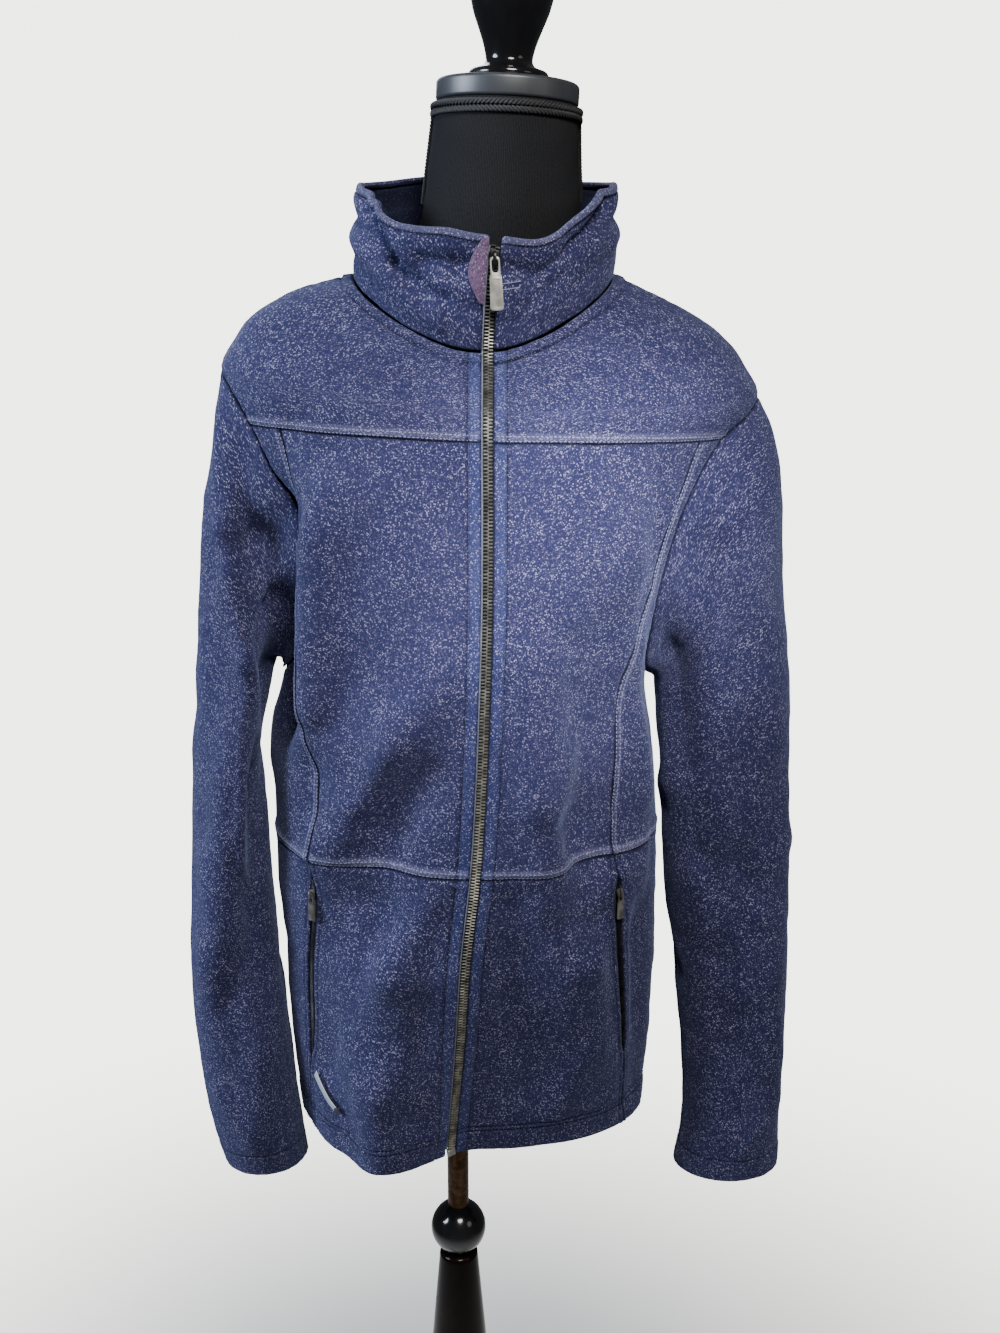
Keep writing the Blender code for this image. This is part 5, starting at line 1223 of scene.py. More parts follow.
# %% A sleeve
def sleeve_cloth(side, word, seed):
    """One sleeve with its cap, from the armhole to the turned cuff."""
    surface = sleeve_surface(side)
    around = np.linspace(0, 2 * pi, SLEEVE_TURNS + 1)[:-1]
    near = NEAR / SLEEVE_LENGTH
    middle = np.linspace(near[-1], 1 - near[-1], round(SLEEVE_LENGTH / (4.2 * MM)))[1:-1]
    stitching = 1 - np.array([18.4, 19.1, 19.8, 20.5, 21.2]) * MM / SLEEVE_LENGTH
    shares = np.sort(np.concatenate([near, middle, stitching, 1 - near[::-1]]))
    turn, share = np.meshgrid(around, shares)
    base = surface(turn, share)
    normal = facing(surface, turn, share, 2e-3, 1e-3) * -side
    body_normal = facing(torso, *armhole(side, turn))
    mitre = (held(np.sin(turn)) * held(1 - share / 0.012))[..., None]
    normal = unit(normal * (1 - mitre) + body_normal * mitre)
    gap = held(1 - share / 0.004)[..., None] * SEAM_GAP * np.array([side * 0.85, 0, -0.53])
    lift = held(share / 0.03) * fold_lift(SMALL_SLEEVE_FOLDS[word], turn, base[..., 2], ROUND_SLEEVE)
    broad = eased(share / 0.10) * fold_lift(BROAD_SLEEVE_FOLDS[word], turn, base[..., 2], ROUND_SLEEVE)
    lift = lift + 0.40 * MM * unevenness(base, 0.028, seed) + 0.12 * MM * unevenness(base, 0.010, seed + 1)
    ring = np.concatenate([base, base[:, :1]], axis=1)
    raised, turned_in, band_tone_and_shade = seam_relief("seam", *distance_to(base, ring[0]))
    cuff, cuff_place = distance_to(base, ring[-1])
    cuff_raised, cuff_turned, cuff_groove_shade = seam_relief("cuff", cuff, cuff_place)
    under = distance_to(base, surface(np.full(80, -pi / 2), np.linspace(0, 1, 80)))[0]
    lift = lift + raised + cuff_raised - 1.1 * MM * bump(under / MM, 0, 0.8) + 0.4 * MM * bump(under / MM, 3.4, 2)
    wall = soft_wall(cuff)
    turned_in = np.minimum(np.maximum(turned_in, cuff_turned), 0.48 * wall)
    face = base + gap + (broad + lift - turned_in)[..., None] * normal
    inner = base + gap + (broad + 0.6 * lift - wall + turned_in)[..., None] * normal
    pattern = np.stack([ROUND_SLEEVE * turn + 0.3 * seed, SLEEVE_LENGTH * (1 - share)], axis=-1)
    # Painted shade along the underarm seam's groove, added to the painted shade of the armhole and cuff seams.
    band_tone_and_shade = np.clip(band_tone_and_shade + cuff_groove_shade - bump(under / MM, 0, 0.9), -1, 1)
    mesh = cloth_mesh(f"sleeve_{word}", face, inner, pattern, closed=True, band_tone_and_shade=band_tone_and_shade)
    loop = np.arange(SLEEVE_TURNS + 1) % SLEEVE_TURNS
    for row in SEAM_TYPES["cuff"][3]:
        points, directions = line_beside((face[:, loop], normal[:, loop]), "high", row * MM)
        keep_stitches("cuff_stitching", points, directions)
    cloth_piece(f"sleeve_{word}", mesh, FLEECE, LINING)


sleeve_cloth(1, "left", 7)
sleeve_cloth(-1, "right", 8)

# %% [markdown]
# ## The collar
# Its cloth is folded over at the rim: one closed loop, up outside, round the rim and down inside. The grid runs the
# same way, and its first and last rows merge at the base. Towards the zip the loop gets thinner and closes.

# %% The collar
SMALL_COLLAR_FOLDS = fold_table("""
    -60 0.92 -47 0.62 4.2 -4.4   -47 0.62 -18 0.42 4.2 -4.2   -30 0.72 -5 0.74 4.6 -5   -36 0.92 -5 0.92 5.5 2.4
    -42 0.78 -36 0.6 5 2.6   -26 0.54 -8 0.52 6 2.2   -52 0.42 -22 0.22 7 2.6   -100 0.7 -62 0.66 4.5 -3
    -112 0.5 -66 0.46 6 2.2   -110 0.88 -64 0.86 5.5 1.8   -90 0.28 -60 0.24 5.5 -2   70 0.86 42 0.76 4.4 -5
    42 0.76 22 0.6 4.6 -4.8   8 0.72 24 0.7 4.4 -3.4   8 0.9 34 0.92 5.5 2.4   36 0.62 58 0.66 6 2.6
    24 0.42 14 0.2 6 -2.2   44 0.34 66 0.4 6 -2.4   74 0.68 108 0.7 4.5 -3   72 0.5 112 0.48 6 2.2
    74 0.88 110 0.88 5.5 1.8   116 0.74 146 0.66 5 -2.8   124 0.34 160 0.26 6 -2   150 0.62 182 0.7 6 2.4
    172 0.8 214 0.74 5.2 -3   214 0.36 250 0.26 6 2   226 0.62 256 0.58 5 -2.6
""")
# Where the soft rim sags or stands: at an angle, over a width in degrees, by so many millimetres.
COLLAR_DIPS = table("angle width drop", """
    27 16 8.5   -45 15 4.5   -17 9 -2   66 12 -2   150 26 2.5   215 22 -2
""")
COLLAR_FOOT = 0.004
COLLAR_HEIGHT = 0.064
RIM_TURNS = np.linspace(0, pi, 9)[1:-1]


def collar_cloth():
    """The collar as one loop of cloth, from zip to zip."""
    half = COLLAR_WALL / 2
    top = 1 - half / COLLAR_HEIGHT
    piping_rows = 1 - np.array([3.2, 3.8, 4.4, 4.9, 5.4, 6.0, 6.8]) * MM / COLLAR_HEIGHT
    up = np.concatenate([np.linspace(COLLAR_FOOT, top, 30), COLLAR_FOOT + NEAR[:8] / COLLAR_HEIGHT, piping_rows])
    up = np.unique(np.round(up, 5))
    level = np.concatenate([[COLLAR_FOOT], up, np.full(len(RIM_TURNS), top), up[::-1], [COLLAR_FOOT]])
    turn = np.concatenate([[pi / 2], 0 * up, RIM_TURNS, 0 * up + pi, [pi / 2]])
    rim = (level == top) & (turn > 0) & (turn < pi)
    middle = collar_zip_angle(level)
    first = shifted(collar, middle, level, ZIP_OPENING / 2)
    last = shifted(collar, middle, level, -ZIP_OPENING / 2 - TAPE_SHOWS) + 2 * pi
    angle, across = column_angles(collar, level, first, last, 2.4 * MM)
    levels = np.repeat(level[:, None], angle.shape[1], axis=1)
    base = collar(angle, levels)
    normal = facing(collar, angle, levels)
    upwards = unit(collar(angle, levels + 1e-3) - collar(angle, levels - 1e-3))
    end = np.minimum(across - across[:, :1], across[:, -1:] - across)
    thin = rounded(end / half)
    lift = held(levels / 0.15) * fold_lift(SMALL_COLLAR_FOLDS, angle, levels, *ROUND_COLLAR)
    lift = lift + 0.35 * MM * unevenness(base, 0.022, 3) + 0.14 * MM * unevenness(base, 0.008, 4)
    from_rim = (1 - levels) * COLLAR_HEIGHT / MM
    piping = 0.55 * plateau(from_rim, -5, 3.9, 0.35) - 1.15 * bump(from_rim, 4.8, 0.65)
    from_foot = (levels - COLLAR_FOOT) * COLLAR_HEIGHT / MM
    foot = -1.0 * MM * bump(from_foot, 0, 1.1)
    sides = np.cos(turn)[:, None]
    # Painted shade in the groove of the rim's stitch row and at the collar's foot seam; the outer rim band is paler.
    band_tone_and_shade = -0.85 * bump(from_rim, 4.9, 0.7) - bump(from_foot, 0, 1.0)
    band_tone_and_shade = np.where(sides > -0.1, band_tone_and_shade + 0.25 * (from_rim < 4), 0)
    centre = base + (lift - half)[..., None] * normal
    for at, wide, drop in zip(*COLLAR_DIPS.values()):
        apart = (np.degrees(angle) - at + 180) % 360 - 180
        centre[..., 2] -= drop * MM * np.exp(-((apart / wide) ** 2)) * held(levels) ** 2
    reach = (half + (piping * MM + foot) * held(np.abs(sides) + rim[:, None])) * thin
    closing = (np.abs(turn - pi / 2) < 1e-6) & ~rim
    reach[closing] = 0
    rising = np.where(rim, np.sin(turn), 0)[:, None]
    points = centre + (reach * sides)[..., None] * normal + (reach * rising)[..., None] * upwards
    columns = angle.shape[1]
    grid, layer, place = numbered_grid(columns, len(level), "seam")
    seam = grid.verts.layers.float["seam"]
    height = along(points[:, columns // 2])
    for face in grid.faces:
        face.material_index = 1 if min(turn[place[corner.vert][1]] for corner in face.loops) > 2.4 else 0
        for corner in face.loops:
            column, row = place[corner.vert]
            corner[layer].uv = (across[row, column], height[row] + 0.21)
    for vertex, (column, row) in place.items():
        vertex.co = Vector(points[row, column]) + STAND_AXIS
        vertex[seam] = band_tone_and_shade[row, column]
    bmesh.ops.remove_doubles(grid, verts=grid.verts[:], dist=2e-5)
    bmesh.ops.recalc_face_normals(grid, faces=grid.faces[:])
    outside = (turn == 0) & (level < top)
    line, directions = line_beside((points[outside], normal[outside]), "high", 5.0 * MM - half)
    keep_stitches("collar_stitching", line, directions, 3 * MM)
    cloth_piece("collar", whole_mesh("collar", grid), FLEECE, LINING)


collar_cloth()

# %% [markdown]
# ## Stitching
# A row of stitches is hundreds of short threads half sunk in the cloth. One small ball of twenty faces,
# stretched along the row, is enough for each; arrays copy it to every place, and a row becomes one mesh.

# %% Stitches
def repeated(name, template, frames, smooth=False):
    """One mesh from a template and its places: arrays move and join the copies."""
    template.verts.index_update()
    places = np.array([vertex.co[:] for vertex in template.verts])
    faces = np.array([[vertex.index for vertex in face.verts] for face in template.faces])
    template.free()
    frames = np.asarray(frames)
    moved = np.einsum("nij,vj->nvi", frames[:, :3, :3], places) + frames[:, None, :3, 3] + AXIS
    indices = faces[None] + (np.arange(len(frames)) * len(places))[:, None, None]
    mesh = bpy.data.meshes.new(name)
    mesh.from_pydata(moved.reshape(-1, 3).tolist(), [], indices.reshape(-1, faces.shape[1]).tolist())
    if smooth:
        mesh.shade_smooth()
    return mesh


def stitch_frames(points, normals, pitch, length, radius, sink):
    """Frames for the stitches of one row: X along it, Z outwards."""
    reach = along(points)
    count = int(reach[-1] / pitch)
    if count < 2:
        return []
    at = (np.arange(count) + 0.5) * reach[-1] / count
    forward = unit(between(at + 0.4 * pitch, reach, points) - between(at - 0.4 * pitch, reach, points))
    side = unit(np.cross(unit(between(at, reach, normals)), forward))
    out = np.cross(forward, side)
    spot = between(at, reach, points) + out * sink
    return list(np.stack([forward * length / 2, side * radius, out * radius, spot], axis=-1))


def stitched(name, group, made, pitch=3.0 * MM, length=2.3 * MM, radius=0.34 * MM, sink=0.05 * MM):
    template = bmesh.new()
    bmesh.ops.create_icosphere(template, subdivisions=1, radius=1.0)
    frames = [frame for row in STITCH_ROWS[group] for frame in stitch_frames(*row, pitch, length, radius, sink)]
    place_piece(name, repeated(name, template, frames, True), made)
    print(name, len(frames), "stitches")


for group in ("yoke_coverstitch", "princess_coverstitch", "pocket_coverstitch", "zip_stitching", "neck_stitching",
    "collar_stitching", "hem_stitching", "cuff_stitching"):
    stitched(group, group, PALE_THREAD if "cover" in group else NAVY_THREAD)

# %% Two short bar tacks on the collar, beside the zip
def collar_spot(level, distance):
    """A point and the outward direction on the collar, this far round from the zip's line."""
    level = np.asarray(level, float)
    angle = shifted(collar, collar_zip_angle(level), level, distance)
    return collar(angle, level), facing(collar, angle, level)


for number, level in enumerate((0.585, 0.535)):
    reach = np.linspace(7.0, 19.0, 12) * MM
    points, normals = collar_spot(np.full(reach.shape, level), reach)
    STITCH_ROWS[f"bar_tack_{number}"] = [(points + 0.5 * MM * normals, normals)]
    stitched(f"collar_bar_tack_{number + 1}", f"bar_tack_{number}", PALE_THREAD, 0.9 * MM, 1.3 * MM, 0.42 * MM, 0)

# %% [markdown]
# ## The centre front zip
# The chain is two rows of small teeth that mesh: each row sits half a pitch behind the other. A tooth has a
# head over the middle and a foot on the tape's cord. The teeth are copies of one bevelled block. Behind
# them runs the woven tape, and a box closes the chain at the hem.

# %% The zip's line
def zip_line(count):
    """Points, outward directions and cross directions along the closed chain, from the hem to the slider."""
    body = np.linspace(CHAIN_FOOT + 0.0005, NECK_LEVEL - 0.0004, 400)
    neck = np.linspace(0.006, 0.90, 60)
    centre = np.concatenate([torso(zip_angle(body), body), collar(collar_zip_angle(neck), neck)])
    out = np.concatenate([facing(torso, zip_angle(body), body), facing(collar, collar_zip_angle(neck), neck)])
    reach = along(centre)
    at = np.linspace(0, reach[-1], count)
    centre, out = between(at, reach, centre), unit(between(at, reach, out))
    for _ in range(12):
        out[1:-1] = unit(out[:-2] + 2 * out[1:-1] + out[2:])
    forward = unit(np.gradient(centre, axis=0))
    side = unit(np.cross(forward, out))
    return centre, np.cross(side, forward), side, forward, reach[-1]


TOOTH_PITCH = 1.22 * MM
*_, chain_length = zip_line(50)
tooth_count = int(chain_length / TOOTH_PITCH)
print("chain:", round(chain_length, 3), "m with", tooth_count, "teeth")

# %% The teeth
def block(size, offset, segments, taper=1.0):
    """A bevelled block. size and offset are in millimetres; taper is the height of its low-X side."""
    solid = bmesh.new()
    bmesh.ops.create_cube(solid, size=1.0)
    bmesh.ops.scale(solid, vec=Vector(size) * MM, verts=solid.verts)
    for vertex in solid.verts:
        vertex.co.z *= taper if vertex.co.x < 0 else 1
    bmesh.ops.bevel(solid, geom=solid.edges[:], offset=offset * MM, offset_type="OFFSET", segments=segments,
        profile=0.5, affect="EDGES", material=-1)
    return solid


def teeth(name, made, node_name, line, size, offset, aside, sunk, taper=1.0):
    """Two rows of teeth that mesh, as copies of one block along a line."""
    tooth = block(size, offset, 1, taper)
    bmesh.ops.triangulate(tooth, faces=tooth.faces[:])
    centre, out, side_way, forward = line[:4]
    hand = np.where(np.arange(len(centre)) % 2 == 0, 1.0, -1.0)[:, None]
    spot = centre + side_way * hand * aside * MM - out * sunk * MM
    frames = np.stack([side_way * -hand, out * -hand, forward, spot], axis=-1)
    mesh = repeated(name, tooth, frames)
    place_piece(name, mesh, made, node_name=node_name)
    print(name, len(mesh.polygons), "triangles")


teeth("zip_teeth", TOOTH_METAL, "zip_chain", zip_line(tooth_count), (3.5, 2.0, 1.02), 0.24, 1.4, 0.55, 0.72)

# %% The tape, its two cords and the box at the foot
def ribbon(name, made, line, half_width, depth, half_thickness, centre_shift=0.0, node_name=None):
    """A flat strip behind the chain, as a closed wall."""
    centre, out, side_way = line[:3]
    shares = np.linspace(-1, 1, 7)
    rounding = (half_thickness * np.sqrt(held(1 - np.abs(shares) ** 6)))[None, :, None]
    middle = centre[:, None] + side_way[:, None] * (centre_shift + shares[None, :, None] * half_width)
    middle = middle - out[:, None] * depth
    outer, inner = middle + out[:, None] * rounding, middle - out[:, None] * (rounding + 0.00002)
    mesh = cloth_mesh(name, outer, inner, np.zeros((*outer.shape[:2], 2)))
    set_finishes(mesh, 0)
    place_piece(name, mesh, made, node_name=node_name)


fine_line = zip_line(420)
ribbon("zip_tape_cloth", DARK_TAPE, fine_line, 5.4 * MM, WALL + TAPE_GAP + TAPE_WALL / 2, TAPE_WALL / 2, 0,
    "zip_tape")
ribbon("zip_tape_core", DARK_TAPE, fine_line, 2.6 * MM, 1.7 * MM, 0.45 * MM)
ribbon("zip_tape_edge", TAPE, fine_line, 0.55 * MM, 0.7 * MM, 0.55 * MM, -(ZIP_CHAIN / 2 + 0.85 * MM))

foot = block((6.6, 2.8, 6.2), 0.55, 3)
level = np.array([HEM_LEVEL + 0.0034])
angle = zip_angle(level)
out_way = Vector(facing(torso, angle, level)[0])
upward = Vector((torso(angle, level + 1e-3) - torso(angle, level - 1e-3))[0])
upward = (upward - upward.dot(out_way) * out_way).normalized()
seat = Matrix((upward.cross(-out_way), -out_way, upward)).transposed().to_4x4()
seat.translation = STAND_AXIS + Vector(torso(angle, level)[0]) - 0.1 * MM * out_way
bmesh.ops.transform(foot, matrix=seat, verts=foot.verts)
place_piece("zip_foot", whole_mesh("zip_foot", foot), GUNMETAL, node_name="zip_foot_box")
print("tape and foot made")

# %% [markdown]
# ## Pocket zips
# A pocket zip is narrower and sits a little below the cloth, in the parted princess seam. It is made like
# the big one, with finer teeth on a dark tape.

# %% The two pocket zips
def pocket_line(side, count):
    level = np.linspace(POCKET_ZIP_FOOT - 0.004, POCKET_ZIP_TOP + 0.004, count)
    angle = princess_angle(side, level)
    centre, out = torso(angle, level), facing(torso, angle, level)
    forward = unit(np.gradient(centre, axis=0))
    side_way = unit(np.cross(forward, out))
    return centre, np.cross(side_way, forward), side_way, forward


for side, word in ((1, "left"), (-1, "right")):
    line = pocket_line(side, 150)
    teeth(f"pocket_teeth_{word}", BLACK_METAL, f"pocket_zip_{word}", line, (2.1, 1.1, 0.80), 0.18, 0.75, 1.0)
    ribbon(f"pocket_tape_{word}", DARK_TAPE, line, 3.4 * MM, 2.0 * MM, 0.35 * MM)

# %% [markdown]
# ## Sliders and pull tabs
# A slider is a plate over the chain with an arched bridge. The tab's loop hangs in the bridge and swings there, so
# each tab rides on its own body. A low border runs round the bare plate.

# %% Frames on the cloth
def surface_frame(surface, angle, level, lift, roll=0.0):
    """A frame on the cloth: X across, Z up along it, -Y outwards, turned by roll about its outward axis."""
    at = np.array([angle])
    height = np.array([level])
    normal = facing(surface, at, height)[0]
    up = (surface(at, height + 1e-3) - surface(at, height - 1e-3))[0]
    inward = Vector(-normal)
    up = Vector(up)
    up = (up - up.dot(inward) * inward).normalized()
    across = inward.cross(up)
    origin = STAND_AXIS + Vector(surface(at, height)[0] + lift * normal)
    turned_axes = Matrix((across, inward, up)).transposed().to_4x4() @ Matrix.Rotation(roll, 4, "Y")
    return Matrix.Translation(origin) @ turned_axes


def extruded(outlines, thickness, frame, bevel):
    """A plate of a thickness from closed outlines in X and Z; the second outline is a hole."""
    plate = bmesh.new()
    for outline in outlines:
        corners = [plate.verts.new((x, -thickness / 2, z)) for x, z in outline]
        for first, second in zip(corners, corners[1:] + corners[:1]):
            plate.edges.new((first, second))
    bmesh.ops.triangle_fill(plate, use_beauty=True, use_dissolve=False, edges=plate.edges[:])
    bmesh.ops.dissolve_limit(plate, angle_limit=0.01, verts=plate.verts[:], edges=[edge for edge in plate.edges
        if not edge.is_boundary])
    sides = bmesh.ops.extrude_face_region(plate, geom=plate.faces[:])
    moved = [thing for thing in sides["geom"] if isinstance(thing, bmesh.types.BMVert)]
    bmesh.ops.translate(plate, vec=(0, thickness, 0), verts=moved)
    bmesh.ops.recalc_face_normals(plate, faces=plate.faces[:])
    if bevel:
        sharp = [edge for edge in plate.edges if len(edge.link_faces) == 2 and edge.calc_face_angle() > 1.0]
        bmesh.ops.bevel(plate, geom=sharp, offset=bevel, offset_type="OFFSET", segments=2, profile=0.5,
            affect="EDGES", material=-1, clamp_overlap=True)
    bmesh.ops.transform(plate, matrix=frame, verts=plate.verts)
    return plate


def joined(name, shells):
    """One mesh from several closed shells."""
    whole = bmesh.new()
    for shell in shells:
        part = bpy.data.meshes.new("shell")
        shell.to_mesh(part)
        shell.free()
        whole.from_mesh(part)
        bpy.data.meshes.remove(part)
    return whole_mesh(name, whole, 38)


def mirrored(rows):
    """A closed outline from the rows of its right side, top to bottom: (half width, height)."""
    return rows + [(-x, z) for x, z in reversed(rows) if x > 0]


def scaled_by(scale, outline):
    return [(x * scale, z * scale) for x, z in outline]

# %% A slider
CROWN = [(0, 5.2), (1.5, 5.1), (3.0, 4.6), (3.65, 3.6), (3.7, 1.5), (3.1, -1.5), (2.9, -4.4), (2.4, -5.2), (0, -5.25)]
FLANGE = [(3.15, 3.7), (3.7, 3.6), (3.7, 1.5), (3.1, -1.5), (2.95, -4.2), (2.4, -4.2)]
ARCH = [(-1.6, 4.7), (-4.6, 4.6), (-6.1, 3.7), (-6.8, 1.8)]
ARCH_INSIDE = [(-1.6, -3.3), (-4.2, -3.2), (-5.0, -2.6), (-5.4, -1.2)]


def slider_mesh(name, frame, scale):
    """Crown-shaped plate, two flanges and an arched bridge, in the slider's own millimetres."""
    plate = extruded([scaled_by(scale, mirrored(CROWN))], 1.3 * scale, frame @ Matrix.Translation((0, -1.55 * scale,
        0)), 0.3 * scale)
    flanges = [extruded([scaled_by(scale, [(hand * x, z) for x, z in FLANGE])], 1.0 * scale,
        frame @ Matrix.Translation((0, -0.5 * scale, 0)), 0.15 * scale) for hand in (1, -1)]
    arch = [outline + [(y, -z) for y, z in reversed(outline)] for outline in (ARCH, ARCH_INSIDE)]
    bridge = extruded([scaled_by(scale, arch[0] + arch[1])], 2.2 * scale, frame @ Matrix.Rotation(pi / 2, 4,
        "Z"), 0.28 * scale)
    return joined(name, [plate, *flanges, bridge])

# %% A pull tab
def pull_mesh(name, frame, scale, half_width, length):
    """A loop on the crossbar and a bare plate with a border, laid out from a point on the crossbar's axis."""
    axis_point = frame @ (Vector((0, PULL_AXIS, 0)) * scale)
    across = (frame.to_3x3() @ Vector((1, 0, 0))).normalized()
    up = (Vector((0, 0, 1)) - across.z * across).normalized()
    hanging = Matrix.Translation(axis_point) @ Matrix((across, up.cross(across), up)).transposed().to_4x4()
    bar, neck = 0.8 * scale, -10.3 * scale
    foot = bar - length
    loop = min(half_width, 3.4 * scale)
    eye = 0.66 * loop

    def outline(upper, lower):
        """Shares of the plate's half width, with heights from its neck and then from its foot."""
        rows = [(x, neck + z * scale) for x, z in upper] + [(x, foot + z * scale) for x, z in lower]
        return [(x * half_width, z) for x, z in rows]

    rows = [(x * loop, z * bar) for x, z in ((0, 1), (0.45, 0.95), (0.8, 0.3), (0.97, -1.2), (1, -3.6))]
    rows += [(0.97 * loop, 0.82 * neck), (0.98 * loop, neck), (0.90 * half_width, neck - 1.5 * scale)]
    rows += [(0.95 * half_width, 0.5 * (neck + foot))]
    rows += outline((), ((1, 2.2), (0.93, 0.9), (0.75, 0.15), (0, 0)))
    hole = ((0, -1), (0.6, -1.2), (0.95, -2.2), (1, -5), (0.95, -9.6), (0.6, -11.4), (0, -11.8))
    hole = [(x * eye, z * bar) for x, z in hole]
    sheet = extruded([mirrored(rows), mirrored(hole)], 1.05 * scale, hanging, 0.22 * scale)
    rim = outline(((0, -2.2), (0.80, -2.3), (0.86, -4)), ((0.92, 2.4), (0.80, 1.0), (0, 0.8)))
    dip = outline(((0, -3.3), (0.62, -3.4), (0.67, -4.4)), ((0.72, 2.9), (0.62, 2.0), (0, 1.9)))
    border = extruded([mirrored(rim), mirrored(dip)], 1.6 * scale, hanging, 0.18 * scale)
    return joined(name, [sheet, border])

# %% The hardware in place
middle = float(collar_zip_angle(np.array([MAIN_SLIDER_LEVEL]))[0])
slider_frame = surface_frame(collar, middle, MAIN_SLIDER_LEVEL, MAIN_SLIDER_LIFT, MAIN_SLIDER_ROLL)
mesh = slider_mesh("main_slider_body", slider_frame, MM)
place_piece("main_slider_body", mesh, BLACK_METAL, node_name="main_slider")
mesh = pull_mesh("main_pull_tab", slider_frame, MM, 4.5 * MM, 34.5 * MM)
place_piece("main_pull_tab", mesh, PALE_METAL, node_name="main_pull", body="main_pull")
for side, word in ((1, "left"), (-1, "right")):
    angle = float(princess_angle(side, POCKET_SLIDER_LEVEL))
    slider_frame = surface_frame(torso, angle, POCKET_SLIDER_LEVEL, POCKET_SLIDER_LIFT)
    mesh = slider_mesh(f"pocket_slider_{word}_body", slider_frame, POCKET_SLIDER_SCALE)
    place_piece(f"pocket_slider_{word}_body", mesh, GUNMETAL, node_name=f"pocket_slider_{word}")
    mesh = pull_mesh(f"pocket_pull_{word}_tab", slider_frame, POCKET_SLIDER_SCALE, 3.3 * MM, 21.5 * MM)
    node_name = f"pocket_pull_{word}"
    place_piece(f"pocket_pull_{word}_tab", mesh, GUNMETAL, node_name=node_name, body=node_name)

# %% [markdown]
# ## Zip guard and hem label
# The guard is a soft plush strip from the inner collar that folds out beside the zip's top. The label is a
# narrow woven strip that is sewn on slantwise above the hem, with a dark end. Both are bare.

# %% The zip guard
GUARD_FOOT, GUARD_TOP = 0.42, 0.97      # shares of the collar's height


def zip_guard():
    level = np.linspace(GUARD_FOOT, GUARD_TOP, 60)
    share = np.linspace(0, 1, 22)
    bulge = 0.0014 + 0.0106 * np.sin(pi * (level - 0.38) / 0.66) ** 1.2
    edge = shifted(collar, collar_zip_angle(level), level, -ZIP_OPENING / 2 - 0.0009)
    angle = shifted(collar, edge[:, None], level[:, None], -bulge[:, None] * share)
    levels = np.repeat(level[:, None], len(share), axis=1)
    base = collar(angle, levels)
    normal = facing(collar, angle, levels)
    border = np.minimum(level - GUARD_FOOT, GUARD_TOP - level)[:, None] * COLLAR_HEIGHT
    border = np.minimum(np.minimum(share, 1 - share)[None] * bulge[:, None], border)
    half = 1.05 * MM * rounded(border / (1.3 * MM))
    fuzz = 0.22 * MM * unevenness(base, 0.0022, 5) * held(border / (0.8 * MM))
    middle = SEAM_GAP + 1.15 * MM
    face = base + (middle + half + fuzz)[..., None] * normal
    inner = base + (middle - half - 0.00002)[..., None] * normal
    pattern = np.stack([share[None] * bulge[:, None], levels * COLLAR_HEIGHT], axis=-1)
    mesh = cloth_mesh("zip_guard_plush", face, inner, pattern)
    set_finishes(mesh, 0)
    cloth_piece("zip_guard", mesh, PLUSH, suffix="plush")


zip_guard()

# %% The hem label
def hem_label():
    length, width, thickness = 38 * MM, 6.0 * MM, 0.8 * MM
    start_angle, start_level, fall = radians(-59.5), 0.787, radians(29)
    run, share = np.meshgrid(np.linspace(0, 1, 60), np.linspace(-0.5, 0.5, 12), indexing="ij")
    down, beside = length * run, width * share
    level = start_level - down * math.sin(fall) + beside * math.cos(fall)
    angle = shifted(torso, np.full(level.shape, start_angle), level, down * math.cos(fall) + beside * math.sin(fall))
    base, normal = torso(angle, level), facing(torso, angle, level)
    border = np.minimum(np.minimum(run, 1 - run) * length, (0.5 - np.abs(share)) * width)
    half = thickness / 2 * rounded(border / (0.4 * MM))
    lift = 1.1 * MM + 0.9 * MM * np.sin(pi * run) * (share + 0.5) + 0.15 * MM * np.sin(run * 9 + 1)
    face = base + (lift + half)[..., None] * normal
    inner = base + (lift - half - 0.00002)[..., None] * normal
    mesh = cloth_mesh("hem_label_strip", face, inner, np.stack([down, beside], axis=-1))
    set_finishes(mesh, np.linalg.norm(face_centres(mesh) - base[-1, 6], axis=1) < 4.6 * MM)
    cloth_piece("hem_label", mesh, LABEL, LABEL_END, suffix="strip")


hem_label()

# %% [markdown]
# ## The dress form
# A padded form is covered with thin jersey. Its body follows the inside of the jacket; its neck rises out
# of the collar and leans a little. One grid runs from the flat underside over the shoulders to the cap.

# %% The form's surface
def form_surface(angle, level):
    """The padded form: inside the cloth all round, and close under it only at the shoulders."""
    inset = np.maximum(column(FORM_INSET, "inset", level), WALL + FIT_GAP)
    inset = inset + FORM_FRONT_INSET * np.abs(np.cos(angle))
    return section(TORSO, angle, level) - inset[..., None] * facing(partial(section, TORSO), angle, level)


